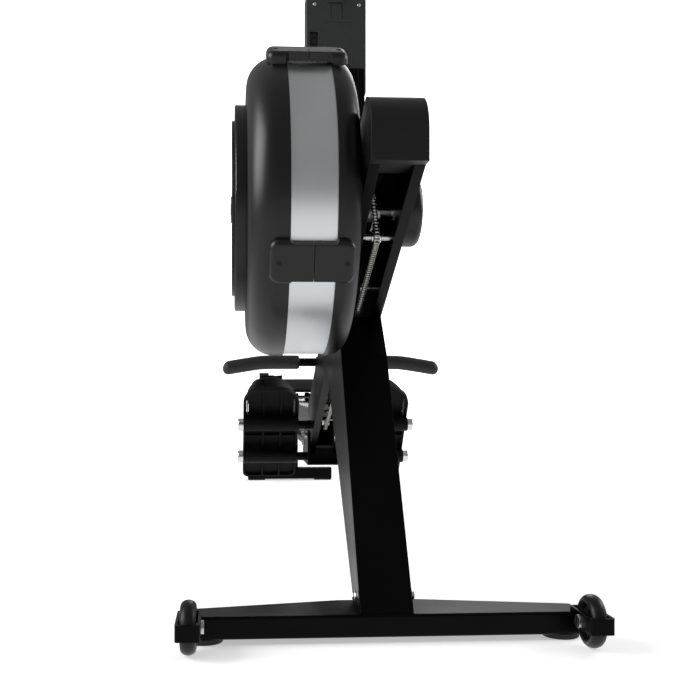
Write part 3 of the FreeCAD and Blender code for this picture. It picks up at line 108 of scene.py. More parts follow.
def unit(vectors):
    """Vectors divided by their length."""
    return vectors / np.linalg.norm(vectors, axis=-1, keepdims=True)


# ---- surfaces --------------------------------------------------------------------------------
def grid(points, wrap_u=False, wrap_v=False):
    """Quads over a (U, V, 3) array of points, joined end to end where a direction wraps."""
    rows, cols = points.shape[:2]
    u = np.arange(rows if wrap_u else rows - 1)
    v = np.arange(cols if wrap_v else cols - 1)
    uu, vv = np.meshgrid(u, v, indexing="ij")
    un, vn = (uu + 1) % rows, (vv + 1) % cols
    quads = np.stack([uu * cols + vv, un * cols + vv, un * cols + vn, uu * cols + vn], -1)
    return points.reshape(-1, 3), quads.reshape(-1, 4)


def lathe(profile, centre, axis=0, segments=64, closed=False):
    """A profile of (along, radius) turned round an axis: point = centre + along*axis + radius
    times (cos a, sin a) in the plane across it."""
    profile = np.array(profile, float)
    angle = np.linspace(0, TAU, segments, endpoint=False)[:, None]
    points = np.zeros((segments, len(profile), 3))
    across = [(axis + 1) % 3, (axis + 2) % 3]
    points[..., axis] = profile[:, 0]
    points[..., across[0]] = profile[:, 1] * np.cos(angle)
    points[..., across[1]] = profile[:, 1] * np.sin(angle)
    return grid(points + np.array(centre), wrap_u=True, wrap_v=closed)


def rounded(profile, radius, steps=4):
    """A polyline of 2-D corners with each inner corner replaced by a circular-looking blend:
    the quadratic curve from radius before the corner to radius after it."""
    profile = [np.array(p, float) for p in profile]
    out = [profile[0]]
    for before, corner, after in zip(profile, profile[1:], profile[2:]):
        reach_a = min(radius, 0.49 * np.linalg.norm(before - corner))
        reach_b = min(radius, 0.49 * np.linalg.norm(after - corner))
        start = corner + unit(before - corner) * reach_a
        end = corner + unit(after - corner) * reach_b
        t = np.linspace(0, 1, steps + 1)[:, None]
        out.extend((1 - t) ** 2 * start + 2 * t * (1 - t) * corner + t ** 2 * end)
    out.append(profile[-1])
    return np.array(out)


def slab(low, high):
    """The eight corners and six faces of a box."""
    low, high = np.array(low, float), np.array(high, float)
    pick = np.array([[0, 0, 0], [1, 0, 0], [1, 1, 0], [0, 1, 0], [0, 0, 1], [1, 0, 1], [1, 1, 1],
                     [0, 1, 1]])
    quads = np.array([[0, 3, 2, 1], [4, 5, 6, 7], [0, 1, 5, 4], [1, 2, 6, 5], [2, 3, 7, 6],
                      [3, 0, 4, 7]])
    return low + pick * (high - low), quads


def turned(part, angle, pivot, axis=(1, 0, 0)):
    """A part turned by an angle about an axis through a pivot."""
    turn = np.array(Matrix.Rotation(angle, 3, Vector(axis)))
    points, quads = part
    return (points - pivot) @ turn.T + pivot, quads


def mirrored(part):
    """A part's mirror image across the machine's middle plane."""
    points, quads = part
    return points * np.array([-1, 1, 1]), quads[:, ::-1]


def joined(parts):
    """Several parts as one array of points and one of faces."""
    counts = np.cumsum([0] + [len(p) for p, _ in parts])
    points = np.concatenate([p for p, _ in parts])
    return points, np.concatenate([q + c for (_, q), c in zip(parts, counts)])


def piece(name, parts, material, body, replaces=(), smooth=32, bevel=0.0):
    """Makes a mesh object of the parts, closes its poles, turns its faces outwards, gives it a
    finish and lets it ride on a body."""
    points, quads = joined(parts)
    mesh = bpy.data.meshes.new(name)
    mesh.vertices.add(len(points))
    mesh.vertices.foreach_set("co", points.astype(np.float32).ravel())
    mesh.loops.add(quads.size)
    mesh.loops.foreach_set("vertex_index", quads.astype(np.int32).ravel())
    mesh.polygons.add(len(quads))
    mesh.polygons.foreach_set("loop_start", np.arange(0, quads.size, 4, dtype=np.int32))
    mesh.update(calc_edges=True)
    mesh.validate()
    work = bmesh.new()
    work.from_mesh(mesh)
    bmesh.ops.remove_doubles(work, verts=work.verts, dist=1e-6)
    bmesh.ops.dissolve_degenerate(work, edges=work.edges, dist=1e-7)
    bmesh.ops.recalc_face_normals(work, faces=work.faces)
    work.to_mesh(mesh)
    work.free()
    mesh.shade_smooth()
    mesh.set_sharp_from_angle(angle=math.radians(smooth))
    mesh.materials.append(MATERIALS[material])
    made = bpy.data.objects.new(name, mesh)
    bpy.context.scene.collection.objects.link(made)
    if bevel:
        edge = made.modifiers.new("edges", "BEVEL")
        edge.width, edge.segments, edge.limit_method = bevel, 2, "ANGLE"
        edge.angle_limit = math.radians(50)
        edge.harden_normals = True
    if body:
        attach(made, body)
    if replaces:
        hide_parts(*replaces)
    return made


# ---- material tools --------------------------------------------------------------------------
def add_node(tree, kind, inputs=None, **settings):
    """Adds one shader node with its settings, and its inputs as values or as links."""
    node = tree.nodes.new(kind)
    for key, value in settings.items():
        setattr(node, key, value)
    for key, value in (inputs or {}).items():
        if isinstance(value, bpy.types.NodeSocket):
            tree.links.new(value, node.inputs[key])
        else:
            node.inputs[key].default_value = value
    return node


def new_material(name, **shader):
    """A material with a Principled shader whose constant values are set on its sockets."""
    made = bpy.data.materials.new(name)
    made.use_nodes = True
    tree = made.node_tree
    bsdf = tree.nodes["Principled BSDF"]
    for key, value in shader.items():
        bsdf.inputs[key.replace("_", " ")].default_value = value
    MATERIALS[name] = made
    place = add_node(tree, "ShaderNodeTexCoord").outputs["Object"]
    return tree, bsdf, place


def vary(tree, bsdf, place, colours, roughness, size, stretch=(1, 1, 1)):
    """Slow changes of colour and roughness from one soft noise of the given size in mm."""
    spread = add_node(tree, "ShaderNodeMapping", {"Vector": place, "Scale": stretch})
    cloud = add_node(tree, "ShaderNodeTexNoise",
                     {"Vector": spread.outputs[0], "Scale": per_mm(size), "Detail": 5.0})
    mix = add_node(tree, "ShaderNodeMix", {"Factor": cloud.outputs["Fac"]}, data_type="RGBA")
    mix.inputs["A"].default_value = linear(colours[0])
    mix.inputs["B"].default_value = linear(colours[1])
    tree.links.new(mix.outputs["Result"], bsdf.inputs["Base Color"])
    rough = add_node(tree, "ShaderNodeMapRange",
                     {"Value": cloud.outputs["Fac"], "From Min": 0.3, "From Max": 0.7,
                      "To Min": roughness[0], "To Max": roughness[1]})
    tree.links.new(rough.outputs[0], bsdf.inputs["Roughness"])
    return cloud


def relief(tree, bsdf, height, depth, edge=0.0):
    """Bump of the given depth in mm from a height, over edges softened by a radius in mm."""
    inputs = {"Height": height, "Strength": 1.0, "Distance": depth * MM}
    if edge:
        soft = add_node(tree, "ShaderNodeBevel", {"Radius": edge * MM}, samples=4)
        inputs["Normal"] = soft.outputs[0]
    bump = add_node(tree, "ShaderNodeBump", inputs)
    tree.links.new(bump.outputs[0], bsdf.inputs["Normal"])


def noise(tree, place, size, detail=2.0):
    return add_node(tree, "ShaderNodeTexNoise", {"Vector": place, "Scale": per_mm(size),
                                                 "Detail": detail}).outputs["Fac"]


# ---- materials -------------------------------------------------------------------------------
def powder_coated_steel():
    """Gloss black powder coat: baked paint with faint orange peel, 4 mm across."""
    tree, bsdf, place = new_material("powder_coated_steel", Specular_IOR_Level=0.08)
    vary(tree, bsdf, place, ("#020202", "#040404"), (0.30, 0.42), 90)
    relief(tree, bsdf, noise(tree, place, 4.0), 0.05, edge=1.2)


def moulded_abs():
    """Satin black ABS, moulded with a fine spark-eroded texture, drawn at 1.1 mm to show."""
    tree, bsdf, place = new_material("moulded_abs", Specular_IOR_Level=0.35)
    vary(tree, bsdf, place, ("#080808", "#0e0e0f"), (0.40, 0.52), 60)
    relief(tree, bsdf, noise(tree, place, 1.1), 0.04, edge=1.0)


def drum_abs():
    """Black ABS drum shell, smoother than the small mouldings, with slight flow marks."""
    tree, bsdf, place = new_material("drum_abs", Specular_IOR_Level=0.36)
    vary(tree, bsdf, place, ("#0b0b0c", "#111112"), (0.30, 0.40), 120)
    relief(tree, bsdf, noise(tree, place, 1.6), 0.03, edge=1.0)


def housing_abs():
    """Dark grey ABS of the monitor's housing: even satin with a fine grain."""
    tree, bsdf, place = new_material("housing_abs")
    vary(tree, bsdf, place, ("#1f2021", "#252627"), (0.44, 0.54), 70)
    relief(tree, bsdf, noise(tree, place, 1.1), 0.03, edge=0.8)


def glass_filled_nylon():
    """Footrest moulding in glass-filled nylon: matt, with a coarse even grain."""
    tree, bsdf, place = new_material("glass_filled_nylon", Specular_IOR_Level=0.12)
    vary(tree, bsdf, place, ("#050505", "#090909"), (0.4, 0.54), 30)
    relief(tree, bsdf, noise(tree, place, 0.9, 4.0), 0.06, edge=0.8)


def satin_aluminium():
    """Rolled aluminium strip, brushed along its length and lacquered: grey with fine lines."""
    tree, bsdf, place = new_material("satin_aluminium", Metallic=1.0, Anisotropic=0.4)
    vary(tree, bsdf, place, ("#d0d1d3", "#dedfe0"), (0.3, 0.4), 0.5, (1, 0.03, 0.03))
    lines = add_node(tree, "ShaderNodeMapping", {"Vector": place, "Scale": (1, 0.02, 0.02)})
    relief(tree, bsdf, noise(tree, lines.outputs[0], 0.35), 0.01)


def zinc_plated_steel():
    """Bright zinc plate on turned steel: cool grey with slight clouding."""
    tree, bsdf, place = new_material("zinc_plated_steel", Metallic=1.0)
    vary(tree, bsdf, place, ("#b4b6b8", "#d5d6d6"), (0.22, 0.36), 6)
    relief(tree, bsdf, noise(tree, place, 0.8), 0.01, edge=0.3)


def black_oxide_steel():
    """Oil-blackened screw steel, dark with a dull glint."""
    tree, bsdf, place = new_material("black_oxide_steel", Metallic=0.6)
    vary(tree, bsdf, place, ("#0a0a0a", "#1c1c1c"), (0.35, 0.5), 4)
    relief(tree, bsdf, noise(tree, place, 0.7), 0.01, edge=0.3)


def nickel_chain_steel():
    """Nickel-plated stamped chain steel, bright with a trace of oil between the plates."""
    tree, bsdf, place = new_material("nickel_chain_steel", Metallic=1.0)
    vary(tree, bsdf, place, ("#8d8c88", "#d2d1cd"), (0.20, 0.38), 3)
    relief(tree, bsdf, noise(tree, place, 0.6), 0.01)


def chrome_cap():
    """Polished chrome plate over a turned cap."""
    tree, bsdf, place = new_material("chrome_cap", Metallic=1.0)
    vary(tree, bsdf, place, ("#d9dadb", "#e8e8e8"), (0.08, 0.16), 10)
    relief(tree, bsdf, noise(tree, place, 1.0), 0.004, edge=0.4)


def ground_steel():
    """Rail's running strip: stainless sheet, brushed lengthwise, with the rollers' polish."""
    tree, bsdf, place = new_material("ground_steel", Metallic=1.0, Anisotropic=0.3)
    vary(tree, bsdf, place, ("#aaabad", "#c6c7c8"), (0.24, 0.36), 1.0, (1, 0.01, 1))
    lines = add_node(tree, "ShaderNodeMapping", {"Vector": place, "Scale": (1, 0.02, 1)})
    relief(tree, bsdf, noise(tree, lines.outputs[0], 0.5), 0.01)


def black_anodised():
    """Extruded aluminium rail, black anodised: satin with faint die lines along it."""
    tree, bsdf, place = new_material("black_anodised", Metallic=0.3)
    vary(tree, bsdf, place, ("#101012", "#18181b"), (0.34, 0.44), 2.0, (1, 0.01, 1))
    lines = add_node(tree, "ShaderNodeMapping", {"Vector": place, "Scale": (1, 0.01, 1)})
    relief(tree, bsdf, noise(tree, lines.outputs[0], 1.5), 0.02, edge=0.8)


def cast_iron():
    """Turned cast iron flywheel, dark with open grain."""
    tree, bsdf, place = new_material("cast_iron", Metallic=0.7)
    vary(tree, bsdf, place, ("#2c2c2c", "#3c3b3a"), (0.5, 0.65), 12)
    relief(tree, bsdf, noise(tree, place, 1.2, 5.0), 0.06)


def closed_cell_foam():
    """Handle sleeve in dipped closed-cell foam: dull black, pores about 0.8 mm."""
    tree, bsdf, place = new_material("closed_cell_foam", Sheen_Weight=0.05, Sheen_Roughness=0.5)
    vary(tree, bsdf, place, ("#080808", "#0e0e0d"), (0.5, 0.64), 14)
    pores = add_node(tree, "ShaderNodeTexVoronoi", {"Vector": place, "Scale": per_mm(0.8)})
    relief(tree, bsdf, pores.outputs["Distance"], 0.06)


def moulded_rubber():
    """Pressed rubber for pads and stops: matt with a fine bloom."""
    tree, bsdf, place = new_material("moulded_rubber")
    vary(tree, bsdf, place, ("#0f0f0f", "#1a1a1a"), (0.6, 0.75), 20)
    relief(tree, bsdf, noise(tree, place, 0.8), 0.05, edge=0.6)


def cast_polyurethane():
    """Transport wheel's cast tyre: smooth satin black with scuffs round the tread."""
    tree, bsdf, place = new_material("cast_polyurethane", Specular_IOR_Level=0.25, Coat_Weight=0.04,
                                     Coat_Roughness=0.3)
    vary(tree, bsdf, place, ("#080809", "#101011"), (0.34, 0.5), 9)
    relief(tree, bsdf, noise(tree, place, 1.5), 0.04)


def seat_skin():
    """Integral-skin polyurethane seat with a pebbled leather grain of about 2 mm."""
    tree, bsdf, place = new_material("seat_skin", Sheen_Weight=0.05, Sheen_Roughness=0.5)
    vary(tree, bsdf, place, ("#0f0f10", "#161617"), (0.42, 0.55), 40)
    cells = add_node(tree, "ShaderNodeTexVoronoi",
                     {"Vector": place, "Scale": per_mm(2.2)}, feature="SMOOTH_F1")
    relief(tree, bsdf, cells.outputs["Distance"], 0.16)


def nylon_webbing():
    """Woven nylon strap: 2 mm ribs across the width and fine yarns along them."""
    tree, bsdf, place = new_material("nylon_webbing", Sheen_Weight=0.3, Sheen_Roughness=0.4)
    vary(tree, bsdf, place, ("#131314", "#1e1e20"), (0.6, 0.75), 8)
    across = add_node(tree, "ShaderNodeTexWave", {"Vector": place, "Scale": per_mm(2.0) / 7,
                                                  "Distortion": 0.6}, bands_direction="X")
    relief(tree, bsdf, across.outputs["Fac"], 0.25)


def braided_cord():
    """Braided polyester cover of the elastic return cord, with light tracer threads."""
    tree, bsdf, place = new_material("braided_cord", Sheen_Weight=0.2, Sheen_Roughness=0.4)
    vary(tree, bsdf, place, ("#17171a", "#2a2a2e"), (0.65, 0.8), 2.5)
    weave = add_node(tree, "ShaderNodeTexWave", {"Vector": place, "Scale": per_mm(2.0) / 7},
                     bands_direction="DIAGONAL")
    relief(tree, bsdf, weave.outputs["Fac"], 0.3)


def display_glass():
    """Clear acrylic over a reflective grey-green display."""
    tree, bsdf, place = new_material("display_glass", Coat_Weight=1.0, Coat_Roughness=0.05)
    vary(tree, bsdf, place, ("#7d8a7c", "#8b9889"), (0.3, 0.4), 40)
    relief(tree, bsdf, noise(tree, place, 0.6), 0.005)


def display_ink():
    """Dark liquid-crystal segments under the acrylic."""
    tree, bsdf, place = new_material("display_ink", Coat_Weight=1.0, Coat_Roughness=0.05)
    vary(tree, bsdf, place, ("#1c201c", "#262b26"), (0.4, 0.5), 20)
    relief(tree, bsdf, noise(tree, place, 1.0), 0.002)


def silicone_key():
    """Grey silicone rubber key, matt."""
    tree, bsdf, place = new_material("silicone_key", Sheen_Weight=0.1)
    vary(tree, bsdf, place, ("#5e6063", "#6c6e71"), (0.55, 0.65), 8)
    relief(tree, bsdf, noise(tree, place, 0.7), 0.03)


def studio_floor():
    """Matt white light table, lit a little from within and more towards its far edge."""
    tree, bsdf, place = new_material("studio_floor", Emission_Color=(1, 1, 1, 1))
    vary(tree, bsdf, place, ("#f4f4f4", "#f8f8f8"), (0.6, 0.7), 400)
    relief(tree, bsdf, noise(tree, place, 60), 0.1)
    reach = add_node(tree, "ShaderNodeVectorMath", {0: place}, operation="LENGTH")
    glow = add_node(tree, "ShaderNodeMapRange",
                    {"Value": reach.outputs["Value"], "From Min": 1.6, "From Max": 5.0,
                     "To Min": 0.44, "To Max": 0.95}, interpolation_type="SMOOTHSTEP")
    tree.links.new(glow.outputs[0], bsdf.inputs["Emission Strength"])


def studio_backdrop():
    """White backdrop paper, evenly lit."""
    tree, bsdf, place = new_material("studio_backdrop", Emission_Color=(1, 1, 1, 1),
                                     Emission_Strength=1.0)
    vary(tree, bsdf, place, ("#f4f4f4", "#f8f8f8"), (0.8, 0.9), 400)


MAKERS = (powder_coated_steel, moulded_abs, drum_abs, housing_abs, glass_filled_nylon,
          satin_aluminium, zinc_plated_steel, black_oxide_steel, nickel_chain_steel, chrome_cap,
          ground_steel, black_anodised, cast_iron, closed_cell_foam, moulded_rubber,
          cast_polyurethane, seat_skin, nylon_webbing, braided_cord, display_glass, display_ink,
          silicone_key, studio_floor, studio_backdrop)

NODE_FINISHES = {
    "powder_coated_steel": ("front_foot", "main_leg", "main_beam", "wheel_forks", "rail_bracket",
                            "rear_leg", "arm_bracket", "monitor_arm", "handle_cradle",
                            "seat_carriage", "foot_rods", "handle_bar"),
    "black_anodised": ("rail_beam",),
    "drum_abs": ("fan_shell_left", "fan_shell_right", "intake_cover", "damper_dial",
                 "bearing_cap", "nose_cover"),
    "moulded_abs": ("chain_guard", "rail_end_cap", "strap_buckles", "guide_shoes",
                    "front_rollers", "rear_rollers", "fan_wheel"),
    "housing_abs": ("monitor_back", "battery_door", "monitor_bezel"),
    "glass_filled_nylon": ("footplates", "heel_cup_right", "heel_cup_left"),
    "satin_aluminium": ("rim_band",),
    "zinc_plated_steel": ("wheel_axles", "fan_axle", "axle_bearings", "drive_pins",
                          "roller_axles", "chain_idler", "chain_yoke", "frame_bolts"),
    "nickel_chain_steel": ("chain_lead", "chain_loop", "drive_sprocket"),
    "chrome_cap": ("rod_caps", "rear_pulley", "front_pulley"),
    "ground_steel": ("rail_track",),
    "cast_iron": ("flywheel_ring",),
    "closed_cell_foam": ("handle_grips",),
    "moulded_rubber": ("floor_pads", "rail_stops"),
    "cast_polyurethane": ("transport_wheel_right", "transport_wheel_left"),
    "seat_skin": ("seat_pad",),
    "nylon_webbing": ("foot_straps",),
    "braided_cord": ("return_cord",),
    "display_glass": ("monitor_screen",),
    "silicone_key": ("monitor_button_1", "monitor_button_2"),
}


# ---- settings a user would change ------------------------------------------------------------
class RowerStageSettings(bpy.types.PropertyGroup):
    """Camera and light of the studio."""
    focal_length: bpy.props.FloatProperty(
        name="Focal length", description="Camera lens for a 36 mm sensor", default=49.19,
        unit="CAMERA")
    camera_distance: bpy.props.FloatProperty(
        name="Camera distance", description="From the front foot's face to the camera",
        default=1.312, unit="LENGTH")
    camera_height: bpy.props.FloatProperty(
        name="Camera height", description="Camera above the floor", default=0.3626, unit="LENGTH")
    camera_side: bpy.props.FloatProperty(
        name="Camera to the left", description="Camera left of the machine's middle plane",
        default=0.2166, unit="LENGTH")
    shift_x: bpy.props.FloatProperty(
        name="Shift X", description="Sideways lens shift", default=0.085)
    shift_y: bpy.props.FloatProperty(
        name="Shift Y", description="Upward lens shift", default=0.0448)
    yaw: bpy.props.FloatProperty(
        name="Yaw", description="Camera turned to the right", default=math.radians(3.57),
        subtype="ANGLE")
    light_power: bpy.props.FloatProperty(
        name="Light power", description="Power of the rail end softbox", default=60.0, unit="POWER")


class RowerSeatSettings(bpy.types.PropertyGroup):
    """Shape of the seat cushion."""
    dish: bpy.props.FloatProperty(
        name="Dish", description="Depth of the two hollows", default=9 * MM, unit="LENGTH")
    roundness: bpy.props.FloatProperty(
        name="Roundness", description="Power of the rounded outline", default=3.4)


class RowerGripSettings(bpy.types.PropertyGroup):
    """Handle sleeves."""
    end_rounding: bpy.props.FloatProperty(
        name="End rounding", description="Length of the grip's rounded end", default=14 * MM,
        unit="LENGTH")


# ---- stage -----------------------------------------------------------------------------------
class ROWER_OT_stage(bpy.types.Operator):
    """Builds the white sweep, the softboxes and the camera"""
    bl_idname = "rower.stage"
    bl_label = "Studio"

    def execute(self, context):
        setting = context.scene.rower_stage
        self.ground()
        self.lights(context, setting.light_power)
        self.camera(context, setting)
        return {"FINISHED"}

    def ground(self):
        """A white light table and a white dome behind it that only the camera sees: points at
        radius * (cos a cos e, sin a cos e, sin e)."""
        reach = 14.0
        angle = np.linspace(0, TAU, 64, endpoint=False)[:, None]
        ring = np.array([0.0, 0.05, 0.3, 1.0])[None] * reach
        disc = np.stack(np.broadcast_arrays(ring * np.cos(angle), ring * np.sin(angle),
                                            np.zeros_like(ring)), -1)
        floor = piece("studio_floor", [grid(disc, wrap_u=True)], "studio_floor", None)
        floor.visible_glossy = False
        rise = np.linspace(-0.02, 0.5, 24)[None] * math.pi
        dome = reach * np.stack(np.broadcast_arrays(
            np.cos(angle) * np.cos(rise), np.sin(angle) * np.cos(rise), np.sin(rise)), -1)
        backdrop = piece("studio_backdrop", [grid(dome, wrap_u=True)], "studio_backdrop", None)
        for ray in ("diffuse", "glossy", "transmission", "shadow"):
            setattr(backdrop, f"visible_{ray}", False)

    def lights(self, context, power):
        """Softboxes at the left, right and rail end, and a world that is grey overhead
        and pale below the horizon, where a glossy face sees the floor."""
        boxes = (("left_softbox", (-3.2, -1.3, 2.1), (-0.1, -0.9, 0.7), 2.2, power * 1.8),
                 ("right_softbox", (3.4, 0.2, 2.2), (0.1, -0.4, 0.5), 1.8, power * 0.9),
                 ("rail_end_softbox", (1.2, 4.4, 3.0), (0, 0.6, 0.4), 2.2, power))
        for name, place, target, size, watts in boxes:
            data = bpy.data.lights.new(name, "AREA")
            data.shape, data.size, data.energy = "SQUARE", size, watts
            lamp = bpy.data.objects.new(name, data)
            lamp.location = place
            aim = Vector(target) - Vector(place)
            lamp.rotation_euler = aim.to_track_quat("-Z", "Y").to_euler()
            context.scene.collection.objects.link(lamp)
        world = bpy.data.worlds.new("studio_world")
        world.use_nodes = True
        tree = world.node_tree
        ray = add_node(tree, "ShaderNodeTexCoord").outputs["Generated"]
        height = add_node(tree, "ShaderNodeSeparateXYZ", {"Vector": ray}).outputs["Z"]
        grey = add_node(tree, "ShaderNodeMapRange",
                        {"Value": height, "From Min": -0.2, "From Max": 0.02, "To Min": 1.0,
                         "To Max": 0.29}, interpolation_type="SMOOTHSTEP").outputs[0]
        backdrop = tree.nodes["Background"]
        backdrop.inputs["Color"].default_value = (1, 1, 1, 1)
        tree.links.new(grey, backdrop.inputs["Strength"])
        context.scene.world = world
        context.scene.view_settings.view_transform = "Standard"

    def camera(self, context, setting):
        """A level camera in front of the fan drum, left of the middle plane."""
        front = corners("front_foot")[0][1]
        data = bpy.data.cameras.new("camera")
        data.lens, data.sensor_width = setting.focal_length, 36.0
        data.shift_x, data.shift_y = setting.shift_x, setting.shift_y
        camera = bpy.data.objects.new("camera", data)
        camera.location = (-setting.camera_side, front - setting.camera_distance,
                           setting.camera_height)
        camera.rotation_euler = (math.pi / 2, 0, -setting.yaw)
        context.scene.collection.objects.link(camera)
        bpy.context.scene.camera = camera


class ROWER_OT_finishes(bpy.types.Operator):
    """Makes every material and gives each CAD node its finish"""
    bl_idname = "rower.finishes"
    bl_label = "Finishes"

    def execute(self, context):
        for make in MAKERS:
            make()
        for material, nodes in NODE_FINISHES.items():
            for node in nodes:
                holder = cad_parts[node]
                holder.data.materials.clear()
                holder.data.materials.append(MATERIALS[material])
        return {"FINISHED"}


# ---- chain drive -----------------------------------------------------------------------------
def tangent(a, ra, b, rb):
    """Points where a belt line leaves circle a and meets circle b, both turned anticlockwise in
    the (y, z) plane: the foot of each radius at angle(b - a) - acos((ra - rb) / distance)."""
    gap = b - a
    normal = math.atan2(gap[1], gap[0]) - math.acos((ra - rb) / np.linalg.norm(gap))
    way = np.array([math.cos(normal), math.sin(normal)])
    return a + ra * way, b + rb * way


def arc(centre, start, end, step=0.5 * MM):
    """Points from start to end, anticlockwise on a circle."""
    radius = np.linalg.norm(start - centre)
    a0 = math.atan2(*(start - centre)[::-1])
    a1 = a0 + (math.atan2(*(end - centre)[::-1]) - a0) % TAU
    angle = np.linspace(a0, a1, max(8, int(radius * (a1 - a0) / step)))[:, None]
    return centre + radius * np.hstack([np.cos(angle), np.sin(angle)])


def chain_lines():
    """The chain's line in (y, z): handle run, and sprocket, idler, rear pulley, return run."""
    sprocket, idler = middle("drive_sprocket")[1:], middle("chain_idler")[1:]
    rear, front = middle("rear_pulley")[1:], middle("front_pulley")[1:]
    sprocket_r = CHAIN_PITCH / 2 / math.sin(math.pi / SPROCKET_TEETH)
    play = CHAIN_GAP + CHAIN_HALF_HEIGHT
    idler_r = (corners("chain_idler")[1] - middle("chain_idler"))[2] + play
    rear_r = (corners("rear_pulley")[1] - middle("rear_pulley"))[2] + play
    front_r = (corners("front_pulley")[1] - middle("front_pulley"))[2] + 4.4 * MM
    yoke = np.array([corners("chain_yoke")[0][1], middle("chain_yoke")[2] + 6 * MM])
    start, on_sprocket = tangent(yoke, 0.0, sprocket, sprocket_r)
    off_sprocket, on_idler = tangent(sprocket, sprocket_r, idler, idler_r)
    off_idler, on_rear = tangent(idler, idler_r, rear, rear_r)
    off_rear, on_front = tangent(rear, rear_r, front, front_r)
    share = (corners("return_cord")[1][1] - off_rear[0]) / (on_front[0] - off_rear[0])
    last = off_rear + share * (on_front - off_rear)
    loop = [arc(sprocket, on_sprocket, off_sprocket), on_idler[None],
            arc(idler, on_idler, off_idler), on_rear[None], arc(rear, on_rear, off_rear),
            last[None]]
    return np.array([start, on_sprocket]), np.concatenate(loop)


def pins_along(line, start=0.0):
    """Points one chain pitch apart along a (y, z) polyline."""
    steps = np.linalg.norm(np.diff(line, axis=0), axis=1)
    total = np.concatenate([[0], np.cumsum(steps)])
    at = np.arange(start, total[-1], CHAIN_PITCH)
    return np.stack([np.interp(at, total, line[:, 0]), np.interp(at, total, line[:, 1])], -1)


def link_plate(a, b, x0, x1):
    """A waisted chain plate from pin a to pin b: half circles round the pins, drawn in between
    them to 0.78 of their radius, between two X planes."""
    way = (b - a) / np.linalg.norm(b - a)
    side = np.array([-way[1], way[0]])
    turn = np.linspace(-math.pi / 2, math.pi / 2, 5)[:, None]
    radius = CHAIN_HALF_HEIGHT
    far = b + radius * (np.cos(turn) * way + np.sin(turn) * side)
    near = a - radius * (np.cos(turn) * way + np.sin(turn) * side)
    centre = (a + b) / 2
    waist = 0.78 * radius * side
    outline = np.concatenate([far, [centre + waist], near, [centre - waist]])
    ring = np.zeros((4, len(outline), 3))
    ring[:, :, 1:] = outline
    ring[0, :, 1:], ring[3, :, 1:] = centre, centre
    ring[:2, :, 0], ring[2:, :, 0] = x0, x1
    return grid(ring, wrap_v=True)


def chain_parts(points):
    """Rollers on every pin, inner plates on one link and outer plates on the next."""
    parts = []
    for number, (a, b) in enumerate(zip(points, points[1:])):
        inner = number % 2 == 0
        x0, x1 = (2.0 * MM, 2.9 * MM) if inner else (3.0 * MM, 3.9 * MM)
        plate = link_plate(a, b, x0, x1)
        parts += [plate, mirrored(plate)]
    for point in points:
        parts.append(lathe([(-4.2 * MM, 0), (-4.2 * MM, 0.9 * MM), (-1.9 * MM, 0.9 * MM),
                            (-1.9 * MM, 1.65 * MM), (1.9 * MM, 1.65 * MM), (1.9 * MM, 0.9 * MM),
                            (4.2 * MM, 0.9 * MM), (4.2 * MM, 0)], (0, point[0], point[1]), 0, 8))
    return parts


class ROWER_OT_chain(bpy.types.Operator):
    """Builds the roller chain, link by link, and the toothed sprocket"""
    bl_idname = "rower.chain"
    bl_label = "Chain and sprocket"

    def execute(self, context):
        lead_line, loop_line = chain_lines()
        loop = pins_along(loop_line)
        lead = pins_along(lead_line[::-1], 0.0)
        piece("return_chain", chain_parts(loop), "nickel_chain_steel", "frame",
              ["chain_loop"])
        handle_chain = piece("handle_chain", chain_parts(lead), "nickel_chain_steel", None,
                             ["chain_lead"])
        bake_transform(handle_chain)
        self.sprocket(loop[0])
        return {"FINISHED"}

    def sprocket(self, first_pin):
        """Toothed disc: radius = root + (tip - root) * (0.5 - 0.5 cos(teeth * angle)) ** 0.6,
        with a valley at the first pin of the chain."""
        centre = middle("drive_sprocket")
        pitch_r = CHAIN_PITCH / 2 / math.sin(math.pi / SPROCKET_TEETH)
        root, tip = pitch_r - 1.8 * MM, pitch_r + 2.2 * MM
        angle = np.linspace(0, TAU, SPROCKET_TEETH * 10, endpoint=False)
        start = math.atan2(first_pin[1] - centre[2], first_pin[0] - centre[1])
        wave = (0.5 - 0.5 * np.cos(SPROCKET_TEETH * (angle - start))) ** 0.6
        outer = root + (tip - root) * wave
        rows = [(-1.6, np.full_like(outer, 0.014)), (-1.6, outer - 0.6 * MM), (-1.0, outer),
                (1.0, outer), (1.6, outer - 0.6 * MM), (1.6, np.full_like(outer, 0.014))]
        points = np.zeros((len(angle), len(rows), 3))
        for number, (x, radius) in enumerate(rows):
            points[:, number] = centre + np.stack(
                [np.full_like(angle, x * MM), radius * np.cos(angle), radius * np.sin(angle)], -1)
        hub = [(-14, 7.6), (-14, 13.2), (-13, 14), (13, 14), (14, 13.2), (14, 7.6)]
        hub = [(a * MM, b * MM) for a, b in hub]
        piece("sprocket", [grid(points, wrap_u=True, wrap_v=True), lathe(hub, centre, closed=True)],
              "zinc_plated_steel", "sprocket", ["drive_sprocket"])


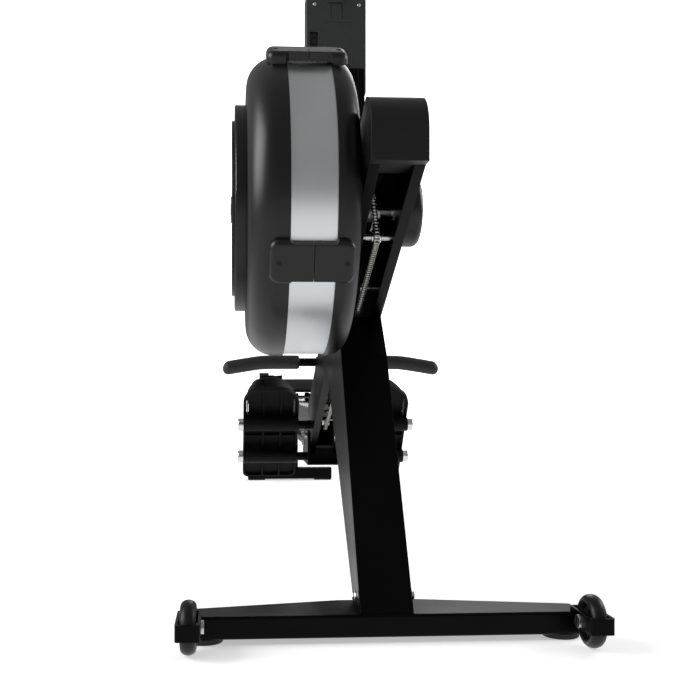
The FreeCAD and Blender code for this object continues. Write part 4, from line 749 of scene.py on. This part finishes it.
class ROWER_OT_pulleys(bpy.types.Operator):
    """Builds the flanged idler and return pulleys"""
    bl_idname = "rower.pulleys"
    bl_label = "Pulleys"

    def execute(self, context):
        for name, node, body in (("idler_wheel", "chain_idler", "idler"),
                                 ("rear_pulley_wheel", "rear_pulley", "rear_return_pulley"),
                                 ("front_pulley_wheel", "front_pulley", "front_return_pulley")):
            low, high = corners(node)
            half, radius, bore = high[0], (high - low)[2] / 2, 4.1 * MM
            step = radius - 1.2 * MM
            profile = [(-half, bore), (-half, radius - 0.6 * MM), (-half + 0.6 * MM, radius),
                       (-5.2 * MM, radius), (-4.6 * MM, step), (4.6 * MM, step),
                       (5.2 * MM, radius), (half - 0.6 * MM, radius), (half, radius - 0.6 * MM),
                       (half, bore)]
            piece(name, [lathe(profile, middle(node), closed=True)], "chrome_cap", body,
                  [node])
        return {"FINISHED"}


# ---- drum ------------------------------------------------------------------------------------
def screw_head(centre, way, radius, height):
    """A socket-head screw on a face: a chamfered disc with a hollow, along a direction."""
    profile = [(0, 0), (0, radius), (height * 0.7, radius), (height, radius * 0.85),
               (height, radius * 0.5), (height * 0.35, radius * 0.45), (height * 0.35, 0)]
    points, quads = lathe(profile, (0, 0, 0), 0, 20)
    turn = np.array(Vector((1, 0, 0)).rotation_difference(Vector(way)).to_matrix())
    return points @ turn.T + np.array(centre), quads


class ROWER_OT_drum(bpy.types.Operator):
    """Adds the lug screws and the hub screw of the fan drum"""
    bl_idname = "rower.drum"
    bl_label = "Drum details"

    def execute(self, context):
        low, high = corners("rim_band")
        centre = middle("rim_band")
        radius = (high - low)[2] / 2
        axle = np.array([0, centre[1], centre[2]])
        screws = []
        for angle in np.radians(LUG_DEGREES):
            for x in LUG_SCREW_X:
                out = np.array([0, -math.sin(angle), math.cos(angle)])
                place = axle + np.array([x, 0, 0]) + out * (radius + LUG_RISE)
                screws.append(screw_head(place, out, 3.8 * MM, 0.6 * MM))
        piece("lug_screws", screws, "black_oxide_steel", "frame")
        dial_low = corners("intake_cover")[0]
        hub = (dial_low[0] + 0.2 * MM, centre[1], centre[2])
        piece("hub_screw", [screw_head(hub, (-1, 0, 0), 9 * MM, 1.0 * MM)], "zinc_plated_steel",
              "frame")
        return {"FINISHED"}


# ---- wheels and bolts ------------------------------------------------------------------------
class ROWER_OT_wheels(bpy.types.Operator):
    """Builds the transport wheels: rounded tyre, dished hub and spokes"""
    bl_idname = "rower.wheels"
    bl_label = "Transport wheels"

    def execute(self, context):
        for side in ("right", "left"):
            node = f"transport_wheel_{side}"
            low, high = corners(node)
            centre = middle(node)
            half, radius = (high - low)[0] / 2, 36 * MM
            turn = np.linspace(-math.pi / 2, math.pi / 2, 13)
            tread = [(half * 0.98 * math.sin(t), radius - half * 0.75 * (1 - math.cos(t)))
                     for t in turn]
            inner = [(half * 0.9, 25 * MM), (half * 0.45, 23 * MM), (-half * 0.45, 23 * MM),
                     (-half * 0.9, 25 * MM)]
            piece(f"tyre_{side}", [lathe(tread + inner, centre, closed=True)],
                  "cast_polyurethane", f"{side}_wheel", [node])
            web = [(-2.5, 11), (-3.5, 23.2), (3.5, 23.2), (2.5, 11)]
            hub = [(-10.4, 5.1), (-10.4, 9), (-9.6, 10), (9.6, 10), (10.4, 9), (10.4, 5.1)]
            rings = [lathe([(a * MM, b * MM) for a, b in ring], centre, closed=True)
                     for ring in (web, hub)]
            spokes = [turned(slab(centre + np.array([-6, -1.2, 9.5]) * MM,
                                  centre + np.array([6, 1.2, 24]) * MM), a, centre)
                      for a in np.linspace(0, TAU, 6, endpoint=False)]
            piece(f"wheel_hub_{side}", rings + spokes, "moulded_abs", f"{side}_wheel")
        return {"FINISHED"}


class ROWER_OT_bolts(bpy.types.Operator):
    """Builds the hexagon bolts and washers of the leg and of the rail saddle"""
    bl_idname = "rower.bolts"
    bl_label = "Bolts"

    def execute(self, context):
        leg_x, saddle_x = corners("main_leg")[1][0], corners("rail_bracket")[1][0]
        zero = corners("front_foot")[0][1]
        heads = []
        places = [(leg_x, *place, 6.0) for place in LEG_BOLTS]
        places += [(saddle_x, *place, 6.5) for place in SADDLE_BOLTS]
        for x, y, z, radius in places:
            centre = np.array([x, zero + y * MM, z * MM])
            washer = [(0, 0), (0, radius * 1.25), (1.2, radius * 1.25), (1.2, 0)]
            head = [(1.2, 0), (1.2, radius), (4.2, radius), (5.0, radius * 0.86), (5.0, 0)]
            parts = [lathe([(a * MM, b * MM) for a, b in washer], centre, segments=28),
                     lathe([(a * MM, b * MM) for a, b in head], centre, segments=6)]
            heads += parts + [mirrored(part) for part in parts]
        piece("hex_bolts", heads, "zinc_plated_steel", "frame", ["frame_bolts"], 25)
        return {"FINISHED"}


# ---- handle ----------------------------------------------------------------------------------
class ROWER_OT_handle(bpy.types.Operator):
    """Builds the handle's two foam sleeves"""
    bl_idname = "rower.handle"
    bl_label = "Handle"

    def execute(self, context):
        centre = middle("handle_grips")
        level = np.array([0, centre[1], corners("handle_bar")[1][2] - 9 * MM])
        bend_x, half, droop = 150 * MM, 234 * MM, math.radians(9.5)
        end_round = context.scene.rower_grip.end_rounding

        def line(x):
            """Level to the bend, then down by tan(droop) per unit, blended over 8 mm."""
            soft = 8 * MM
            over = soft * np.logaddexp(0, (np.abs(x) - bend_x) / soft)
            z = level[2] - math.tan(droop) * over
            return np.stack([x, np.full_like(x, level[1]), z], -1)
        x = np.concatenate([np.linspace(69.5 * MM, half - end_round, 80),
                            half - end_round * (1 - np.sin(np.linspace(0.1, 1, 12) * math.pi / 2))])
        path = line(x)
        near, far = (x - x[0]) / (4 * MM), (half - x) / end_round
        radius = 15 * MM * np.sqrt(np.clip(1 - (1 - np.clip(far, 0, 1)) ** 2, 0.0, 1))
        radius = np.minimum(radius, 15 * MM * (0.82 + 0.18 * np.clip(near, 0, 1) ** 0.5))
        rib = np.sin((x - x[0]) / (3.2 * MM) * TAU) * 0.12 * MM
        inside = (x > x[0] + 8 * MM) & (x < half - end_round - 6 * MM)
        radius = radius + np.where(inside, rib, 0)
        angle = np.linspace(0, TAU, 32, endpoint=False)
        ring = np.stack([np.zeros_like(angle), np.cos(angle), np.sin(angle)], -1)
        body = path[:, None] + radius[:, None, None] * ring
        body = np.concatenate([np.repeat(path[:1, None], 32, 1), body,
                               np.repeat(path[-1:, None], 32, 1)])
        sleeve = grid(body, wrap_v=True)
        piece("foam_sleeves", [sleeve, mirrored(sleeve)], "closed_cell_foam", "handle",
              ["handle_grips"], 50)
        return {"FINISHED"}


# ---- seat ------------------------------------------------------------------------------------
class ROWER_OT_seat(bpy.types.Operator):
    """Builds the moulded seat cushion"""
    bl_idname = "rower.seat"
    bl_label = "Seat cushion"

    def execute(self, context):
        """Outline: |x/a|^n + |y/b|^n = 1, drawn in at the rear middle. Height over the plate:
        thickness falling off over the outer rim to an edge wall, less two Gaussian hollows, a
        shallow channel and a 2 mm fall towards front and back."""
        setting = context.scene.rower_seat
        low, high = corners("seat_pad")
        centre = (low + high) / 2
        half_x, half_y = 152 * MM, (high - low)[1] / 2
        thick = (high - low)[2]
        power = setting.roundness
        angle = np.linspace(0, TAU, 128, endpoint=False)
        cx, sy = np.cos(angle), np.sin(angle)
        reach = (np.abs(cx) ** power + np.abs(sy) ** power) ** (-1 / power)
        notch = 1 - 0.16 * np.exp(-(cx / 0.24) ** 2) * (sy > 0)
        outline = np.stack([reach * cx * half_x, reach * sy * half_y * notch], -1)
        s = np.concatenate([np.linspace(0, 0.9, 22), 0.9 + 0.1 * np.sin(np.linspace(
            0.15, math.pi / 2, 8))])
        plan = s[:, None, None] * outline[None]
        x, y = plan[..., 0], plan[..., 1]
        edge = 1 - np.clip((s - 0.86) / 0.14, 0, 1) ** 2.2 * 0.42
        hollow = sum(np.exp(-((x - side * 62 * MM) / (46 * MM)) ** 2
                            - ((y - 8 * MM) / (58 * MM)) ** 2) for side in (-1, 1))
        channel = np.exp(-(x / (15 * MM)) ** 2) * np.clip((y + 30 * MM) / (100 * MM), 0, 1)
        height = thick * edge[:, None] - setting.dish * hollow - 5 * MM * channel
        height -= 2.0 * MM * (1 - np.exp(-(y / (90 * MM)) ** 2))
        top = np.stack([x, y, height], -1)
        wall_low = np.stack([outline[:, 0] * 0.985, outline[:, 1] * 0.985,
                             np.full(len(angle), 3 * MM)], -1)[None]
        under = np.stack([outline[:, 0] * 0.95, outline[:, 1] * 0.95,
                          np.zeros(len(angle))], -1)[None]
        pole = np.zeros_like(under)
        points = np.concatenate([top, wall_low, under, pole])
        points += np.array([centre[0], centre[1], low[2] + 0.2 * MM])
        cushion = piece("seat_cushion", [grid(points, wrap_v=True)], "seat_skin", "seat",
                        ["seat_pad"], 60)
        return {"FINISHED"}


# ---- footrests -------------------------------------------------------------------------------
def sole_frame():
    """Toe point, direction down the sole and direction off the sole of the footplates."""
    zero = corners("front_foot")[0][1]
    toe, heel = [np.array([0, zero + y * MM, z * MM]) for y, z in (TOE, HEEL)]
    down = unit(heel - toe)
    return toe, down, np.array([0, -down[2], down[1]])


def on_sole(part):
    """A part drawn flat (x, along the sole, off the sole) laid onto the footplate."""
    toe, down, off = sole_frame()
    points, quads = part
    across = np.array([1, 0, 0])
    return toe + points[:, :1] * across + points[:, 1:2] * down + points[:, 2:] * off, quads


class ROWER_OT_footrests(bpy.types.Operator):
    """Builds the sole treads and the webbing straps with their tails and pull tabs"""
    bl_idname = "rower.footrests"
    bl_label = "Footrest details"

    def execute(self, context):
        treads = []
        for along in np.arange(14, 92, 9.0):
            treads.append(on_sole(slab((82 * MM, along * MM, 11.9 * MM),
                                       (168 * MM, (along + 4) * MM, 13.2 * MM))))
        treads += [mirrored(t) for t in treads]
        piece("sole_treads", treads, "moulded_rubber", "frame", bevel=0.5 * MM)
        self.straps()
        return {"FINISHED"}

    def straps(self):
        """A band whose middle line runs from slot to slot over the foot, 38 mm wide and 2 mm
        thick, with a tail beyond the buckle."""
        side_x0, side_x1, top, shoulder = 71.2 * MM, 178.8 * MM, 90.8 * MM, 28 * MM
        line = rounded([(side_x0, -2.5 * MM), (side_x0, top - 45 * MM),
                        (side_x0 + shoulder, top), (side_x1 - shoulder, top),
                        (side_x1, top - 45 * MM), (side_x1, -2.5 * MM)], 22 * MM, 8)
        band = self.band(line, 1.0 * MM)
        tail = rounded([(136 * MM, 96.0 * MM), (112 * MM, 96.6 * MM), (96 * MM, 99 * MM)],
                       10 * MM, 6)
        tail = self.band(tail, 0.9 * MM)
        tab = self.pull_tab()
        parts = [on_sole(band), on_sole(tail), on_sole(tab)]
        piece("webbing_straps", parts + [mirrored(p) for p in parts], "nylon_webbing", "frame",
              ["foot_straps"], 50)

    def pull_tab(self):
        """A loop of webbing standing on the strap: a ring of 9 mm radius with a hole of 0.45 of
        that, about 2 mm thick along the sole."""
        turn = np.linspace(0, TAU, 40, endpoint=False)[:, None]
        edge = np.array([[0.45, -0.9], [1.0, -0.9], [1.0, 0.9], [0.45, 0.9]])
        x = 128 * MM + 9 * MM * edge[:, 0] * np.cos(turn)
        z = 100 * MM + 9 * MM * edge[:, 0] * np.sin(turn)
        y = 52 * MM + 1.2 * MM * edge[:, 1] + 0 * turn
        return grid(np.stack([x, y, z], -1), wrap_u=True, wrap_v=True)

    def band(self, line, half_thick):
        """The band's cross line (x, height) carried across the strap's width."""
        way = unit(np.gradient(line, axis=0))
        normal = np.stack([-way[:, 1], way[:, 0]], -1)
        loop = np.concatenate([line + normal * half_thick, (line - normal * half_thick)[::-1]])
        width = np.array([33, 33.8, 70.2, 71.0]) * MM
        points = np.zeros((len(width) + 2, len(loop), 3))
        points[1:-1, :, 0], points[1:-1, :, 2] = loop[:, 0], loop[:, 1]
        points[1:-1, :, 1] = width[:, None]
        centre = np.concatenate([line, line[::-1]])
        points[0, :, 0], points[0, :, 2], points[0, :, 1] = centre[:, 0], centre[:, 1], width[0]
        points[-1, :, 0], points[-1, :, 2], points[-1, :, 1] = centre[:, 0], centre[:, 1], width[-1]
        return grid(points, wrap_v=True)


# ---- monitor ---------------------------------------------------------------------------------
SEGMENTS = {"0": "abcdef", "1": "bc", "2": "abged", "4": "fgbc", "5": "afgcd"}


def digit(symbol, x, z, height, y):
    """Seven-segment numeral as small bars on the display's face, read from the rail's side."""
    width, bar = height * 0.5, height * 0.1
    bars = {"a": (0, height, width, 0), "g": (0, height / 2, width, 0), "d": (0, 0, width, 0),
            "f": (0, height / 2, 0, height / 2), "b": (width, height / 2, 0, height / 2),
            "e": (0, 0, 0, height / 2), "c": (width, 0, 0, height / 2)}
    parts = []
    for name in SEGMENTS[symbol]:
        u, v, du, dv = bars[name]
        gap_u, gap_v = (bar * 0.7, 0) if du else (0, bar * 0.7)
        u0, u1 = u + gap_u - (0 if du else bar / 2), u + du - gap_u + (0 if du else bar / 2)
        v0, v1 = v + gap_v - (0 if dv else bar / 2), v + dv - gap_v + (0 if dv else bar / 2)
        parts.append(slab((x - u1, y, z + v0), (x - u0, y + 0.15 * MM, z + v1)))
    return parts


class ROWER_OT_monitor(bpy.types.Operator):
    """Adds the screws, clip ribs, socket pins and the display's marks to the monitor"""
    bl_idname = "rower.monitor"
    bl_label = "Monitor details"

    def execute(self, context):
        back_y = corners("battery_door")[0][1]
        heads = [screw_head((x * MM, back_y, z * MM), (0, -1, 0), 3.4 * MM, 1.4 * MM)
                 for x, z in ((-44, 1140), (48, 1140), (37, 1003), (-44, 1003))]
        piece("monitor_screws", heads, "zinc_plated_steel", "monitor")
        ribs = [slab((x * MM, back_y - 0.8 * MM, 1112 * MM), ((x + 2.2) * MM, back_y, 1141 * MM))
                for x in (-12, 11)]
        plugs = [slab((-51 * MM, back_y + 3 * MM, z * MM),
                      (-41 * MM, back_y + 8 * MM, (z + 9) * MM)) for z in (1047, 1060, 1072)]
        piece("monitor_back_details", ribs + plugs, "moulded_abs", "monitor",
              bevel=0.4 * MM)
        face = corners("monitor_screen")[1][1]
        marks = []
        rows = (("00", 1122, 16), ("000", 1088, 20), ("0", 1056, 16), ("00", 1024, 16))
        for text, z, height in rows:
            for number, symbol in enumerate(text):
                marks += digit(symbol, (38 - number * height * 0.8) * MM, z * MM, height * MM, face)
        lines = [slab((-46 * MM, face, z * MM), (46 * MM, face + 0.15 * MM, (z + 0.8) * MM))
                 for z in (1050, 1080, 1116)]
        piece("display_marks", marks + lines, "display_ink", "monitor")
        return {"FINISHED"}


# ---- rail --------------------------------------------------------------------------------------
class ROWER_OT_rail(bpy.types.Operator):
    """Adds the screws at the end cap's sides and on the running strip"""
    bl_idname = "rower.rail"
    bl_label = "Rail details"

    def execute(self, context):
        low, high = corners("rail_end_cap")
        cap_y = (low[1] + high[1]) / 2
        screws = [screw_head((x, cap_y, (low[2] + high[2]) / 2 + rise * MM),
                             (math.copysign(1, x), 0, 0), 2.6 * MM, 0.8 * MM)
                  for x in (low[0], high[0]) for rise in (-32, 32)]
        piece("end_cap_screws", screws, "zinc_plated_steel", "frame")
        track_low, track_high = corners("rail_track")
        heads = [screw_head((0, y, track_high[2]), (0, 0, 1), 4 * MM, 0.8 * MM)
                 for y in (track_low[1] + 20 * MM, track_high[1] - 8 * MM)]
        piece("track_screws", heads, "zinc_plated_steel", "frame")
        return {"FINISHED"}


# ---- panel and running -----------------------------------------------------------------------
OPERATORS = (ROWER_OT_finishes, ROWER_OT_stage, ROWER_OT_chain, ROWER_OT_pulleys, ROWER_OT_drum,
             ROWER_OT_wheels, ROWER_OT_bolts, ROWER_OT_handle, ROWER_OT_seat,
             ROWER_OT_footrests, ROWER_OT_monitor, ROWER_OT_rail)
SETTINGS = {"rower_stage": RowerStageSettings, "rower_seat": RowerSeatSettings,
            "rower_grip": RowerGripSettings}


class ROWER_PT_panel(bpy.types.Panel):
    """Lists the rowing machine's pieces in the sidebar"""
    bl_idname = "ROWER_PT_panel"
    bl_label = "Rowing machine"
    bl_space_type = "VIEW_3D"
    bl_region_type = "UI"
    bl_category = "Rower"

    def draw(self, context):
        for operator in OPERATORS:
            self.layout.operator(operator.bl_idname)
        for name, group in SETTINGS.items():
            for key in group.__annotations__:
                self.layout.prop(getattr(context.scene, name), key)


def register():
    for group in (*SETTINGS.values(), *OPERATORS, ROWER_PT_panel):
        bpy.utils.register_class(group)
    for name, group in SETTINGS.items():
        setattr(bpy.types.Scene, name, bpy.props.PointerProperty(type=group))


def unregister():
    for name in SETTINGS:
        delattr(bpy.types.Scene, name)
    for group in reversed((*SETTINGS.values(), *OPERATORS, ROWER_PT_panel)):
        bpy.utils.unregister_class(group)


def main():
    """Registers the add-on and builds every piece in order."""
    register()
    for operator in OPERATORS:
        group, name = operator.bl_idname.split(".")
        result = getattr(getattr(bpy.ops, group), name)()
        if result != {"FINISHED"}:
            raise RuntimeError(f"{operator.bl_label} did not finish")


if __name__ == "__main__":
    main()
